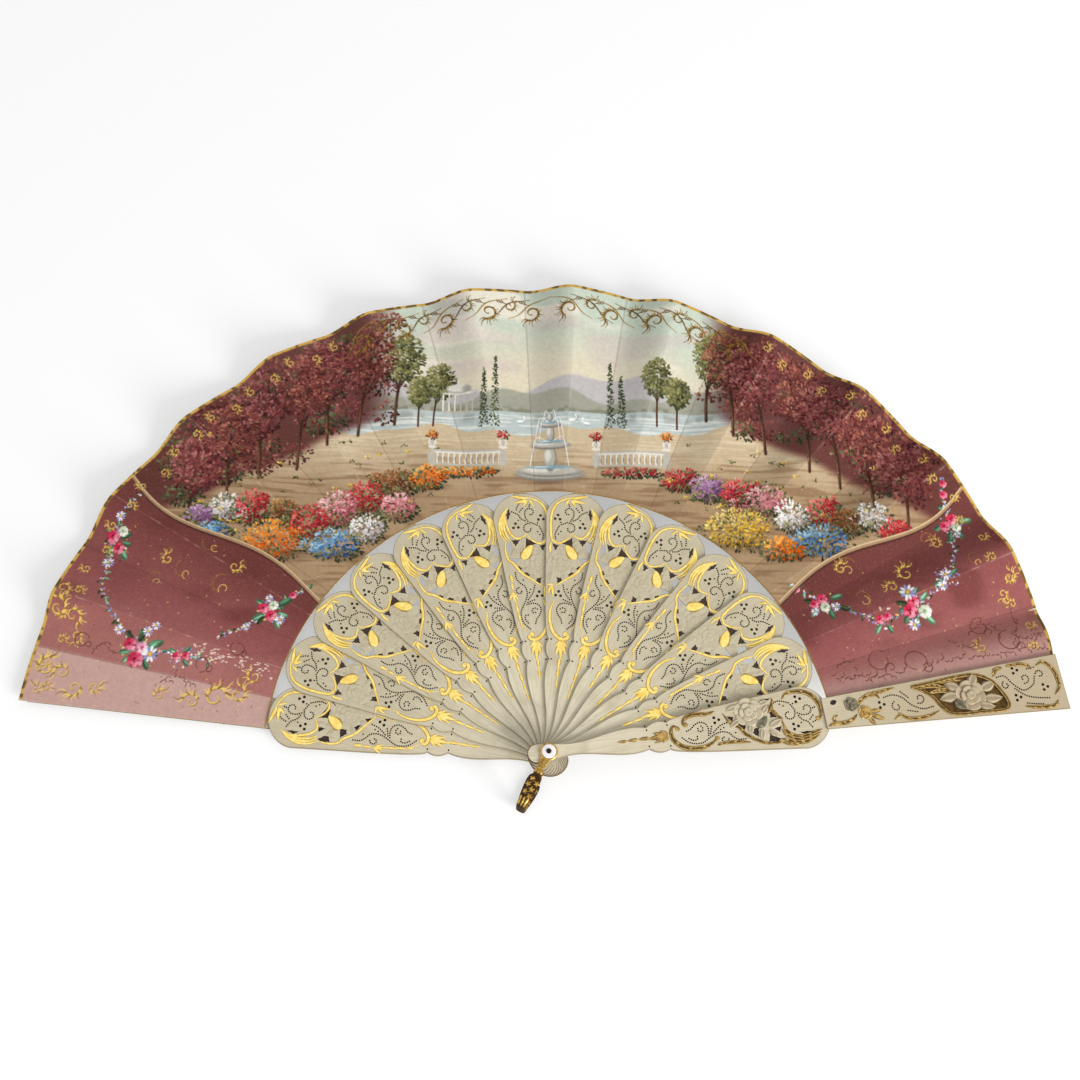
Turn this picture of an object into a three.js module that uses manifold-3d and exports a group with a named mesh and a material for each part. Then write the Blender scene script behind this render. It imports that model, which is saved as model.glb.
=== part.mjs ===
// A folding fan lying open on its back. Two guards and the inner sticks between them turn on one rivet,
// and a pleated paper leaf joins the ribs that the sticks carry beyond their pierced blades.
// Millimetres, +Z up. The rivet stands on the Z axis with its rear end at Z 0, and the fan opens towards +Y.

import * as THREE from 'three';
import { mergeVertices } from 'three/addons/utils/BufferGeometryUtils.js';
import Module from 'manifold-3d';

const wasm = await Module();
wasm.setup();

// The spread
const STICK_COUNT = 14; // both guards and every inner stick
const SPREAD_DEG = 168.75; // the open leaf, from its first edge to its last

// Blade outline, along the stick from the rivet and out to each side of its middle line
const TAIL_LENGTH = 10.5; // past the rivet, away from the leaf
const TAIL_HALF_WIDTH = 4.9;
const WAIST_RADIUS = 12;
const WAIST_HALF_WIDTH = 2.8;
const SHOULDER_RADIUS = 41.5;
const SHOULDER_HALF_WIDTH = 6.5;
const LOWER_NOTCH_RADIUS = 49.5;
const LOWER_NOTCH_HALF_WIDTH = 4.8;
const SCALLOP_HALF_WIDTH = 7.4; // the round bump between the two notches
const UPPER_NOTCH_RADIUS = 60;
const UPPER_NOTCH_HALF_WIDTH = 6;
const SWELL_HALF_WIDTH = 9.7; // how far the edge swings out just above the upper notch
const HEAD_RADIUS = 127.5; // where the head is widest
const HEAD_HALF_WIDTH = 15.7;
const BLADE_TIP = 141.7;
const HEAD_ENTRY = 27.5; // the length over which the edge bends into the head
const HEAD_ENTRY_DROP = 3.1; // how much narrower the edge heads for over that length

// Piercings of the blade: pointed openings between the leaves of the carved rose, a slit beside the head's
// feather, and berries, which are round holes in threes
const ROSE_OPENINGS = [
  { belowHead: 17.5, offset: 9, length: 3.6, width: 2, turnDeg: 0 },
  { belowHead: 14.3, offset: 2.6, length: 6, width: 2.4, turnDeg: -51 },
  { belowHead: 13.1, offset: -5.2, length: 4.6, width: 2.2, turnDeg: -87 },
  { belowHead: 15.6, offset: -8.8, length: 5, width: 1.8, turnDeg: 12 },
  { belowHead: 23.3, offset: -6.2, length: 5.6, width: 2.3, turnDeg: 90 },
  { belowHead: 30, offset: -2.4, length: 6.2, width: 2, turnDeg: -34 },
  { belowHead: 35.6, offset: 4.4, length: 4.4, width: 2.2, turnDeg: 55 },
];
const SLIT_LENGTH = 6.4;
const SLIT_WIDTH = 1.5;
const SLIT_ABOVE_HEAD = 1.5; // from the widest place of the head to the middle of the slit
const SLIT_OFFSET = -9;
const SLIT_TURN_DEG = 25;
const BERRY_HOLE_RADIUS = 0.7;
const BERRY_RING = 1.35;
const BERRIES_PER_BUNCH = 3;
const HEAD_BERRY_FROM_TIP = 14.9;
const HEAD_BERRY_OFFSET = 9.4;
const LOW_HEAD_BERRY_FROM_TIP = 18.4;
const LOW_HEAD_BERRY_OFFSET = -4.2;
const CARTOUCHE_BERRY_FROM_NOTCH = 24.5; // from the upper notch
const CARTOUCHE_BERRY_OFFSET = 4.4;

// Thicknesses and the stack on the rivet
const STICK_THICKNESS = 0.7;
const STICK_GAP = 0.3;
const GUARD_THICKNESS = 2;
const GUARD_SHAFT_THICKNESS = 1.6;
const GUARD_RELIEF = 1.2; // cut from the shaft's inner face, so that the folded leaf has room
const PLAY = 0.15; // between the other pieces on the rivet
const PIN_RADIUS = 1.1;
const BORE_CLEARANCE = 0.15;
const PIN_HEAD_RADIUS = 1.7;
const PIN_HEAD_HEIGHT = 0.5;
const PIN_HEAD_CHAMFER = 0.2;
const WASHER_RADIUS = 3.5;
const WASHER_THICKNESS = 0.9;
const WASHER_EDGE = 0.35; // the rounding of the washer's rim

// Ribs and leaf
const LEAF_RADIUS = 267;
const LEAF_GAP = 0.5; // from the blades' tips to the leaf's inner edge
const LEAF_THICKNESS = 0.2;
const GLUE_GAP = 0.05;
const CREASE_GAP = 0.3; // between two panels at a fold
const PLEAT_DEPTH = 7; // from valley to ridge at the leaf's outer edge
const NEST_CLEARANCE = 0.1; // between the closed leaf and the guards
const RIB_THICKNESS = 0.3;
const RIB_SEAT = 0.1; // the rib's underside above its blade's
const RIB_ROOT = 6; // how far the rib runs back into its blade
const RIB_SETBACK = 4; // from the rib's tip to the leaf's outer edge
const RIB_ROOT_HALF_WIDTH = 3.6;
const RIB_TIP_HALF_WIDTH = 2.4;

// The guards' shafts
const NECK_LAP = 3; // how far the shaft runs back over the blade's head
const SHAFT_SETBACK = 4.5; // from the leaf's outer edge back to the guards' tips
const SHAFT_ROOT_HALF_WIDTH = 7.8;
const SHAFT_TIP_HALF_WIDTH = 14.3;
const SHAFT_ROSE_FROM_TIP = 50.5;
const SHAFT_RING_LENGTH = 17;
const SHAFT_RING_WIDTH = 6.6;
const SHAFT_OPENING_COUNT = 6;
const SHAFT_OPENING_LENGTH = 9;
const SHAFT_OPENING_WIDTH = 2.4;
const SHAFT_BERRY_FROM_BLADE = 26.5; // from the blade's tip
const SHAFT_BERRY_OFFSET = 1;
const SHAFT_TIP_BERRIES = [
  { fromTip: 22.8, offset: 8.6 },
  { fromTip: 9.5, offset: -1.5 },
  { fromTip: 25.2, offset: -4.8 },
];

// The bail, a stirrup on the rivet that takes a tassel
const BAIL_ANGLE_DEG = -117;
const BAIL_LENGTH = 30.5;
const BAIL_PLATE = 0.9;
const BAIL_EYE_RADIUS = 4.4;
const BAIL_EYE_END_DEG = 30; // where the eye's round runs into the neck
const BAIL_NECK_RADIUS = 8;
const BAIL_NECK_HALF_WIDTH = 1.6;
const BAIL_WIDEST_RADIUS = 18;
const BAIL_HALF_WIDTH = 3.9;
const BAIL_EASE = 4; // the length over which the edge bends at its neck and at its widest place
const BAIL_END_EASE = 2.4; // the same where the edge runs into the round end
const BAIL_END_HALF_WIDTH = 2.6;
const BAIL_END_THICKNESS = 3;
const BAIL_BEND = 4;

// Facets
const FINE_STEPS = 24;
const BORE_STEPS = 16;
const BERRY_STEPS = 5;
const POINTED_STEPS = 3;
const BLADE_STEPS = { tail: 4, waist: 3, taper: 4, shoulder: 2, scallop: 4, side: 6, head: 6 };
const BAIL_STEPS = { eye: 8, neck: 3, swell: 5, taper: 4, end: 4, bend: 5 };
const LEAF_ROWS = 5;
const MERGE_DISTANCE = 1e-4;

// Angles and levels that follow from the sizes above
const degrees = THREE.MathUtils.degToRad;
const PANEL_ANGLE = degrees(SPREAD_DEG) / (2 * STICK_COUNT - 1);
const PITCH_ANGLE = 2 * PANEL_ANGLE;
const LAST = STICK_COUNT - 1;
const STICK_PITCH = STICK_THICKNESS + STICK_GAP;
const BORE_RADIUS = PIN_RADIUS + BORE_CLEARANCE;
const REAR_WASHER_LEVEL = PIN_HEAD_HEIGHT + PLAY;
const REAR_BAIL_LEVEL = REAR_WASHER_LEVEL + WASHER_THICKNESS + PLAY;
const BACK_GUARD_LEVEL = REAR_BAIL_LEVEL + BAIL_PLATE + PLAY;
const FIRST_STICK_LEVEL = BACK_GUARD_LEVEL + GUARD_THICKNESS + STICK_GAP;
const FRONT_GUARD_LEVEL = FIRST_STICK_LEVEL + (LAST - 1) * STICK_PITCH;
const FRONT_BAIL_LEVEL = FRONT_GUARD_LEVEL + GUARD_THICKNESS + PLAY;
const FRONT_WASHER_LEVEL = FRONT_BAIL_LEVEL + BAIL_PLATE + PLAY;
const FRONT_HEAD_LEVEL = FRONT_WASHER_LEVEL + WASHER_THICKNESS + PLAY;
const PIN_LENGTH = FRONT_HEAD_LEVEL + PIN_HEAD_HEIGHT;
const LEAF_INNER = BLADE_TIP + LEAF_GAP;
const SHAFT_TIP = LEAF_RADIUS - SHAFT_SETBACK;

const BONE = { color: 0xd8d0b8, roughness: 0.5, metalness: 0 };
const PAPER = { color: 0x8f4f52, roughness: 0.75, metalness: 0 };
const PEARL = { color: 0xeeeeee, roughness: 0.25, metalness: 0 };
const STEEL = { color: 0x3a3632, roughness: 0.35, metalness: 1 };
const GILT_BRASS = { color: 0x8a6420, roughness: 0.35, metalness: 1 };

const fan = new THREE.Group();

function add(name, geometry, finish, angle = 0, level = 0) {
  const mesh = new THREE.Mesh(geometry, new THREE.MeshStandardMaterial(finish));
  mesh.name = name;
  mesh.rotation.z = angle;
  mesh.position.z = level;
  fan.add(mesh);
}

// Joining and cutting of closed meshes
function solidOf(geometry) {
  const bare = geometry.clone();
  bare.deleteAttribute('normal');
  bare.deleteAttribute('uv');
  const merged = mergeVertices(bare, MERGE_DISTANCE);
  const vertProperties = new Float32Array(merged.attributes.position.array);
  const triVerts = new Uint32Array(merged.index.array);
  return new wasm.Manifold(new wasm.Mesh({ numProp: 3, vertProperties, triVerts }));
}

function geometryOf(solid) {
  const mesh = solid.getMesh();
  const geometry = new THREE.BufferGeometry();
  geometry.setAttribute('position', new THREE.BufferAttribute(mesh.vertProperties, 3));
  geometry.setIndex(new THREE.BufferAttribute(mesh.triVerts, 1));
  geometry.computeVertexNormals();
  return geometry;
}

// A flat plate with its openings cut through it
function piercedPlate(outline, openings, thickness) {
  const plate = new THREE.ExtrudeGeometry(outline, { depth: thickness, bevelEnabled: false });
  const cutters = openings.map((opening) => {
    const cutter = new THREE.ExtrudeGeometry(opening, { depth: 3 * thickness, bevelEnabled: false });
    return solidOf(cutter.translate(0, 0, -thickness));
  });
  return wasm.Manifold.difference([solidOf(plate), ...cutters]);
}

// A symmetrical outline from the curves of its one edge, which runs from the middle line at the tail
// to the middle line at the tip
function mirroredShape(curves) {
  const edge = [];
  for (const [curve, steps] of curves) {
    const points = curve.getPoints(steps);
    edge.push(...(edge.length ? points.slice(1) : points));
  }
  const mirrored = edge.slice(1, -1).reverse().map((p) => new THREE.Vector2(p.x, -p.y));
  return new THREE.Shape([...edge, ...mirrored].reverse());
}

function bezier(...coordinates) {
  const [ax, ay, bx, by, cx, cy, dx, dy] = coordinates;
  const [a, b, c, d] = [[ax, ay], [bx, by], [cx, cy], [dx, dy]].map(([x, y]) => new THREE.Vector2(x, y));
  return new THREE.CubicBezierCurve(a, b, c, d);
}

function quarter(x, alongX, alongY, from, to) {
  return new THREE.EllipseCurve(x, 0, alongX, alongY, from, to, true);
}

// The blade's edge: round tail, slim waist, swelling shoulder, one scallop between two notches, then the
// long side of the cartouches up to the round head
function bladeShape() {
  const tailCentre = TAIL_HALF_WIDTH - TAIL_LENGTH;
  const reach = SHOULDER_RADIUS - WAIST_RADIUS;
  const scallopMiddle = (LOWER_NOTCH_RADIUS + UPPER_NOTCH_RADIUS) / 2;
  const notchMean = (LOWER_NOTCH_HALF_WIDTH + UPPER_NOTCH_HALF_WIDTH) / 2;
  const scallop = new THREE.QuadraticBezierCurve(
    new THREE.Vector2(LOWER_NOTCH_RADIUS, LOWER_NOTCH_HALF_WIDTH),
    new THREE.Vector2(scallopMiddle, 2 * SCALLOP_HALF_WIDTH - notchMean),
    new THREE.Vector2(UPPER_NOTCH_RADIUS, UPPER_NOTCH_HALF_WIDTH),
  );
  const tail = quarter(tailCentre, TAIL_HALF_WIDTH, TAIL_HALF_WIDTH, Math.PI, Math.PI / 2);
  const waist = bezier(
    tailCentre, TAIL_HALF_WIDTH, 0, TAIL_HALF_WIDTH,
    WAIST_RADIUS / 2, WAIST_HALF_WIDTH, WAIST_RADIUS, WAIST_HALF_WIDTH,
  );
  const taper = bezier(
    WAIST_RADIUS, WAIST_HALF_WIDTH, WAIST_RADIUS + reach / 3, WAIST_HALF_WIDTH,
    SHOULDER_RADIUS - reach / 3, SHOULDER_HALF_WIDTH, SHOULDER_RADIUS, SHOULDER_HALF_WIDTH,
  );
  const shoulder = new THREE.QuadraticBezierCurve(
    new THREE.Vector2(SHOULDER_RADIUS, SHOULDER_HALF_WIDTH),
    new THREE.Vector2((SHOULDER_RADIUS + LOWER_NOTCH_RADIUS) / 2, SHOULDER_HALF_WIDTH),
    new THREE.Vector2(LOWER_NOTCH_RADIUS, LOWER_NOTCH_HALF_WIDTH),
  );
  const side = bezier(
    UPPER_NOTCH_RADIUS, UPPER_NOTCH_HALF_WIDTH, UPPER_NOTCH_RADIUS, SWELL_HALF_WIDTH,
    HEAD_RADIUS - HEAD_ENTRY, HEAD_HALF_WIDTH - HEAD_ENTRY_DROP, HEAD_RADIUS, HEAD_HALF_WIDTH,
  );
  const head = quarter(HEAD_RADIUS, BLADE_TIP - HEAD_RADIUS, HEAD_HALF_WIDTH, Math.PI / 2, 0);
  const curves = { tail, waist, taper, shoulder, scallop, side, head };
  return mirroredShape(Object.entries(curves).map(([name, curve]) => [curve, BLADE_STEPS[name]]));
}

// A pointed oval opening, turned about its middle
function pointedHole(x, y, length, width, turn) {
  const along = new THREE.Vector2(length / 2, 0).rotateAround(new THREE.Vector2(), turn);
  const across = new THREE.Vector2(0, width).rotateAround(new THREE.Vector2(), turn);
  const middle = new THREE.Vector2(x, y);
  const [start, end] = [middle.clone().sub(along), middle.clone().add(along)];
  const [left, right] = [middle.clone().add(across), middle.clone().sub(across)];
  const there = new THREE.QuadraticBezierCurve(start, left, end).getPoints(POINTED_STEPS);
  const back = new THREE.QuadraticBezierCurve(end, right, start).getPoints(POINTED_STEPS);
  return new THREE.Shape([...there.slice(0, -1), ...back.slice(0, -1)]);
}

function roundHole(x, y, radius, steps) {
  const hole = new THREE.EllipseCurve(x, y, radius, radius, 0, 2 * Math.PI, true);
  return new THREE.Shape(hole.getPoints(steps).slice(0, -1));
}

function berryBunch(x, y) {
  const holes = [];
  for (let berry = 0; berry < BERRIES_PER_BUNCH; berry += 1) {
    const turn = (berry * 2 * Math.PI) / BERRIES_PER_BUNCH;
    const [along, across] = [BERRY_RING * Math.cos(turn), BERRY_RING * Math.sin(turn)];
    holes.push(roundHole(x + along, y + across, BERRY_HOLE_RADIUS, BERRY_STEPS));
  }
  return holes;
}

// The bore and the piercings of one blade. Every other blade has them on its other side.
function bladeHoles(side) {
  const holes = [roundHole(0, 0, BORE_RADIUS, BORE_STEPS)];
  for (const { belowHead, offset, length, width, turnDeg } of ROSE_OPENINGS) {
    holes.push(pointedHole(HEAD_RADIUS - belowHead, side * offset, length, width, side * degrees(turnDeg)));
  }
  const slitTurn = side * degrees(SLIT_TURN_DEG);
  const slitRadius = HEAD_RADIUS + SLIT_ABOVE_HEAD;
  holes.push(pointedHole(slitRadius, side * SLIT_OFFSET, SLIT_LENGTH, SLIT_WIDTH, slitTurn));
  holes.push(...berryBunch(BLADE_TIP - HEAD_BERRY_FROM_TIP, side * HEAD_BERRY_OFFSET));
  holes.push(...berryBunch(BLADE_TIP - LOW_HEAD_BERRY_FROM_TIP, side * LOW_HEAD_BERRY_OFFSET));
  holes.push(...berryBunch(UPPER_NOTCH_RADIUS + CARTOUCHE_BERRY_FROM_NOTCH, side * CARTOUCHE_BERRY_OFFSET));
  return holes;
}

function blade(thickness, side) {
  return piercedPlate(bladeShape(), bladeHoles(side), thickness);
}

// A thin closed solid over a grid of rows along the stick and columns across it. point(row, column)
// gives a place on its underside.
function sheetSolid(rows, columns, thickness, point) {
  const positions = [];
  const indices = [];
  for (const lift of [0, thickness]) {
    for (let row = 0; row <= rows; row += 1) {
      for (let column = 0; column <= columns; column += 1) {
        const place = point(row, column);
        positions.push(place.x, place.y, place.z + lift);
      }
    }
  }
  const layer = (rows + 1) * (columns + 1);
  const at = (row, column, top) => top * layer + row * (columns + 1) + column;
  const quad = (a, b, c, d) => indices.push(a, b, c, a, c, d);
  for (let row = 0; row < rows; row += 1) {
    for (let column = 0; column < columns; column += 1) {
      const corners = (top) => [
        at(row, column, top), at(row + 1, column, top), at(row + 1, column + 1, top), at(row, column + 1, top),
      ];
      const [a, b, c, d] = corners(0);
      quad(...corners(1));
      quad(a, d, c, b);
    }
    quad(at(row, 0, 0), at(row + 1, 0, 0), at(row + 1, 0, 1), at(row, 0, 1));
    quad(at(row + 1, columns, 0), at(row, columns, 0), at(row, columns, 1), at(row + 1, columns, 1));
  }
  for (let column = 0; column < columns; column += 1) {
    quad(at(0, column + 1, 0), at(0, column, 0), at(0, column, 1), at(0, column + 1, 1));
    quad(at(rows, column, 0), at(rows, column + 1, 0), at(rows, column + 1, 1), at(rows, column, 1));
  }
  const geometry = new THREE.BufferGeometry();
  geometry.setAttribute('position', new THREE.Float32BufferAttribute(positions, 3));
  geometry.setIndex(indices);
  geometry.computeVertexNormals();
  return geometry;
}

// How the pleats lie. Beyond the gorge a rib twists with its panel, left edge up and right edge down, and
// the panels' middles drift from high at the back guard to low at the front guard. Closed, the panels
// then nest between the two guards.
function stickLevel(stick) {
  return FIRST_STICK_LEVEL + (stick - 1) * STICK_PITCH;
}

const LEAF_SEAT = RIB_SEAT + RIB_THICKNESS + GLUE_GAP;
const BACK_SHAFT_TOP = BACK_GUARD_LEVEL + GUARD_THICKNESS - GUARD_RELIEF;
const FRONT_SHAFT_UNDER = FRONT_GUARD_LEVEL + GUARD_RELIEF;
const BACK_PANEL_LEVEL = BACK_SHAFT_TOP + GLUE_GAP;
const FRONT_PANEL_LEVEL = FRONT_SHAFT_UNDER - GLUE_GAP - LEAF_THICKNESS;
const LOWEST_EDGE = BACK_PANEL_LEVEL + LEAF_THICKNESS + NEST_CLEARANCE;
const HIGHEST_EDGE = FRONT_PANEL_LEVEL - LEAF_THICKNESS - NEST_CLEARANCE;
const FIRST_DRIFT = LOWEST_EDGE + PLEAT_DEPTH / 2 - stickLevel(1) - LEAF_SEAT;
const LAST_DRIFT = HIGHEST_EDGE - PLEAT_DEPTH / 2 - stickLevel(LAST - 1) - LEAF_SEAT;

function pleatLift(stick, radius, angle) {
  const grown = Math.max(0, (radius - LEAF_INNER) / (LEAF_RADIUS - LEAF_INNER));
  const drift = THREE.MathUtils.mapLinear(stick, 1, LAST - 1, FIRST_DRIFT, LAST_DRIFT);
  return grown * (drift + (PLEAT_DEPTH * angle) / PANEL_ANGLE);
}

// The underside of a panel at an angle from the middle of its stick
function panelLevel(stick, radius, angle) {
  if (stick === 0) {
    return BACK_PANEL_LEVEL;
  }
  if (stick === LAST) {
    return FRONT_PANEL_LEVEL;
  }
  return stickLevel(stick) + LEAF_SEAT + pleatLift(stick, radius, angle);
}

// The leaf's outer edge draws in to the tip of the front guard
function leafRadius(row, stick) {
  return THREE.MathUtils.lerp(LEAF_INNER, stick === LAST ? SHAFT_TIP : LEAF_RADIUS, row / LEAF_ROWS);
}

function polar(radius, angle, z) {
  return new THREE.Vector3(radius * Math.cos(angle), radius * Math.sin(angle), z);
}

function ribAngle(radius) {
  const halfWidth = THREE.MathUtils.mapLinear(
    radius, LEAF_INNER, LEAF_RADIUS, RIB_ROOT_HALF_WIDTH, RIB_TIP_HALF_WIDTH,
  );
  return halfWidth / radius;
}

// The slim rib of an inner stick, from inside its blade to just short of the leaf's outer edge
function rib(stick) {
  const columns = [-1, 1];
  const radii = [BLADE_TIP - RIB_ROOT];
  for (let row = 0; row < LEAF_ROWS; row += 1) {
    radii.push(leafRadius(row, stick));
  }
  radii.push(LEAF_RADIUS - RIB_SETBACK);
  return sheetSolid(radii.length - 1, 1, RIB_THICKNESS, (row, column) => {
    const angle = columns[column] * ribAngle(radii[row]);
    return polar(radii[row], angle, RIB_SEAT + pleatLift(stick, radii[row], angle));
  });
}

function innerStick(stick, side) {
  return geometryOf(blade(STICK_THICKNESS, side).add(solidOf(rib(stick))));
}

// A guard is a thick blade and a straight shaft of the folded leaf's width, pierced round a rose
function guardShaft(side) {
  const root = BLADE_TIP - NECK_LAP;
  const outline = new THREE.Shape([
    new THREE.Vector2(root, -SHAFT_ROOT_HALF_WIDTH),
    new THREE.Vector2(SHAFT_TIP, -SHAFT_TIP_HALF_WIDTH),
    new THREE.Vector2(SHAFT_TIP, SHAFT_TIP_HALF_WIDTH),
    new THREE.Vector2(root, SHAFT_ROOT_HALF_WIDTH),
  ]);
  const openings = [
    ...berryBunch(BLADE_TIP + SHAFT_BERRY_FROM_BLADE, side * SHAFT_BERRY_OFFSET),
    ...SHAFT_TIP_BERRIES.flatMap(({ fromTip, offset }) => berryBunch(SHAFT_TIP - fromTip, side * offset)),
  ];
  for (let opening = 0; opening < SHAFT_OPENING_COUNT; opening += 1) {
    const angle = ((opening + 1 / 2) * 2 * Math.PI) / SHAFT_OPENING_COUNT;
    const x = SHAFT_TIP - SHAFT_ROSE_FROM_TIP + SHAFT_RING_LENGTH * Math.cos(angle);
    const y = SHAFT_RING_WIDTH * Math.sin(angle);
    const turn = Math.atan2(SHAFT_RING_WIDTH * Math.cos(angle), -SHAFT_RING_LENGTH * Math.sin(angle));
    openings.push(pointedHole(x, y, SHAFT_OPENING_LENGTH, SHAFT_OPENING_WIDTH, turn));
  }
  return piercedPlate(outline, openings, GUARD_SHAFT_THICKNESS);
}

function guard(side, shaftLevel) {
  return geometryOf(blade(GUARD_THICKNESS, side).add(guardShaft(side).translate(0, 0, shaftLevel)));
}

// One flat panel of the leaf, glued along its stick
function leafPanel(stick) {
  return sheetSolid(LEAF_ROWS, 3, LEAF_THICKNESS, (row, column) => {
    const radius = leafRadius(row, stick);
    const edge = PANEL_ANGLE / 2 - CREASE_GAP / 2 / radius;
    const angle = [-edge, -ribAngle(radius), ribAngle(radius), edge][column];
    return polar(radius, angle, panelLevel(stick, radius, angle));
  });
}

// One free panel between two sticks, from the ridge of the next panel to the valley of the last
function leafFold(stick) {
  return sheetSolid(LEAF_ROWS, 1, LEAF_THICKNESS, (row, column) => {
    const [neighbour, side] = column === 0 ? [stick, -1] : [stick - 1, 1];
    const radius = leafRadius(row, neighbour);
    const edge = PANEL_ANGLE / 2 - CREASE_GAP / 2 / radius;
    return polar(radius, side * edge, panelLevel(neighbour, radius, (-side * PANEL_ANGLE) / 2));
  });
}

function turned(profile) {
  const points = profile.map(([radius, level]) => new THREE.Vector2(radius, level));
  return new THREE.LatheGeometry(points, FINE_STEPS).rotateX(Math.PI / 2);
}

// The rivet: a round pin closed over the washers at both ends
function rivetPin() {
  const rim = PIN_HEAD_RADIUS - PIN_HEAD_CHAMFER;
  return turned([
    [0, 0], [rim, 0], [PIN_HEAD_RADIUS, PIN_HEAD_CHAMFER], [PIN_HEAD_RADIUS, PIN_HEAD_HEIGHT],
    [PIN_RADIUS, PIN_HEAD_HEIGHT], [PIN_RADIUS, FRONT_HEAD_LEVEL], [PIN_HEAD_RADIUS, FRONT_HEAD_LEVEL],
    [PIN_HEAD_RADIUS, PIN_LENGTH - PIN_HEAD_CHAMFER], [rim, PIN_LENGTH], [0, PIN_LENGTH],
  ]);
}

function washer() {
  const rim = WASHER_RADIUS - WASHER_EDGE;
  const edge = WASHER_EDGE / 2;
  return turned([
    [BORE_RADIUS, 0], [rim, 0], [WASHER_RADIUS, edge], [WASHER_RADIUS, WASHER_THICKNESS - edge],
    [rim, WASHER_THICKNESS], [BORE_RADIUS, WASHER_THICKNESS], [BORE_RADIUS, 0],
  ]);
}

// The bail: a leaf-shaped plan cut through a stirrup-shaped side, with an eye on the rivet in each arm
function bail() {
  const height = FRONT_BAIL_LEVEL + BAIL_PLATE - REAR_BAIL_LEVEL;
  const eyeEnd = degrees(BAIL_EYE_END_DEG);
  const eyeTop = new THREE.Vector2(BAIL_EYE_RADIUS * Math.cos(eyeEnd), BAIL_EYE_RADIUS * Math.sin(eyeEnd));
  const endCentre = BAIL_LENGTH - BAIL_END_HALF_WIDTH;
  const eye = quarter(0, BAIL_EYE_RADIUS, BAIL_EYE_RADIUS, Math.PI, eyeEnd);
  const neck = new THREE.QuadraticBezierCurve(
    eyeTop,
    new THREE.Vector2((eyeTop.x + BAIL_NECK_RADIUS) / 2, BAIL_NECK_HALF_WIDTH),
    new THREE.Vector2(BAIL_NECK_RADIUS, BAIL_NECK_HALF_WIDTH),
  );
  const swell = bezier(
    BAIL_NECK_RADIUS, BAIL_NECK_HALF_WIDTH, BAIL_NECK_RADIUS + BAIL_EASE, BAIL_NECK_HALF_WIDTH,
    BAIL_WIDEST_RADIUS - BAIL_EASE, BAIL_HALF_WIDTH, BAIL_WIDEST_RADIUS, BAIL_HALF_WIDTH,
  );
  const taper = bezier(
    BAIL_WIDEST_RADIUS, BAIL_HALF_WIDTH, BAIL_WIDEST_RADIUS + BAIL_EASE, BAIL_HALF_WIDTH,
    endCentre - BAIL_END_EASE, BAIL_END_HALF_WIDTH, endCentre, BAIL_END_HALF_WIDTH,
  );
  const end = quarter(endCentre, BAIL_END_HALF_WIDTH, BAIL_END_HALF_WIDTH, Math.PI / 2, 0);
  const curves = { eye, neck, swell, taper, end };
  const plan = mirroredShape(Object.entries(curves).map(([name, curve]) => [curve, BAIL_STEPS[name]]));
  plan.holes.push(roundHole(0, 0, BORE_RADIUS, BORE_STEPS));
  const stirrup = new THREE.Shape();
  const inner = BAIL_BEND - BAIL_PLATE;
  const innerEnd = BAIL_LENGTH - BAIL_END_THICKNESS;
  const start = -2 * BAIL_EYE_RADIUS;
  stirrup.moveTo(start, 0);
  stirrup.lineTo(BAIL_LENGTH - BAIL_BEND, 0);
  stirrup.absarc(BAIL_LENGTH - BAIL_BEND, BAIL_BEND, BAIL_BEND, -Math.PI / 2, 0, false);
  stirrup.absarc(BAIL_LENGTH - BAIL_BEND, height - BAIL_BEND, BAIL_BEND, 0, Math.PI / 2, false);
  stirrup.lineTo(start, height);
  stirrup.lineTo(start, height - BAIL_PLATE);
  stirrup.absarc(innerEnd - inner, height - BAIL_BEND, inner, Math.PI / 2, 0, true);
  stirrup.absarc(innerEnd - inner, BAIL_BEND, inner, 0, -Math.PI / 2, true);
  stirrup.lineTo(start, BAIL_PLATE);
  const width = 4 * BAIL_EYE_RADIUS;
  const section = { depth: width, bevelEnabled: false, curveSegments: BAIL_STEPS.bend };
  const side = new THREE.ExtrudeGeometry(stirrup, section);
  side.rotateX(Math.PI / 2).translate(0, width / 2, 0);
  const column = new THREE.ExtrudeGeometry(plan, { depth: 2 * height, bevelEnabled: false });
  column.translate(0, 0, -height / 2);
  return geometryOf(solidOf(column).intersect(solidOf(side)));
}

// The assembly, from the back guard on the left to the front guard on the right
function stickAngle(stick) {
  return Math.PI / 2 + (LAST / 2 - stick) * PITCH_ANGLE;
}

function numbered(name, number) {
  return `${name}_${String(number).padStart(2, '0')}`;
}

for (let stick = 0; stick <= LAST; stick += 1) {
  const angle = stickAngle(stick);
  const side = stick % 2 === 0 ? -1 : 1;
  if (stick === 0) {
    add('back_guard', guard(side, GUARD_THICKNESS - GUARD_RELIEF - GUARD_SHAFT_THICKNESS), BONE, angle,
      BACK_GUARD_LEVEL);
  } else if (stick === LAST) {
    add('front_guard', guard(side, GUARD_RELIEF), BONE, angle, FRONT_GUARD_LEVEL);
  } else {
    add(numbered('stick', stick), innerStick(stick, side), BONE, angle, stickLevel(stick));
  }
  add(numbered('leaf_panel', stick), leafPanel(stick), PAPER, angle);
  if (stick > 0) {
    add(numbered('leaf_fold', stick), leafFold(stick), PAPER, angle + PITCH_ANGLE / 2);
  }
}

add('rivet_pin', rivetPin(), STEEL);
add('rear_washer', washer(), PEARL, 0, REAR_WASHER_LEVEL);
add('front_washer', washer(), PEARL, 0, FRONT_WASHER_LEVEL);
add('bail', bail(), GILT_BRASS, degrees(BAIL_ANGLE_DEG), REAR_BAIL_LEVEL);

export default fan;
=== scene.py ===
import math
import bpy
import numpy as np
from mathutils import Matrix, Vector
from mathutils.geometry import delaunay_2d_cdt


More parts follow.
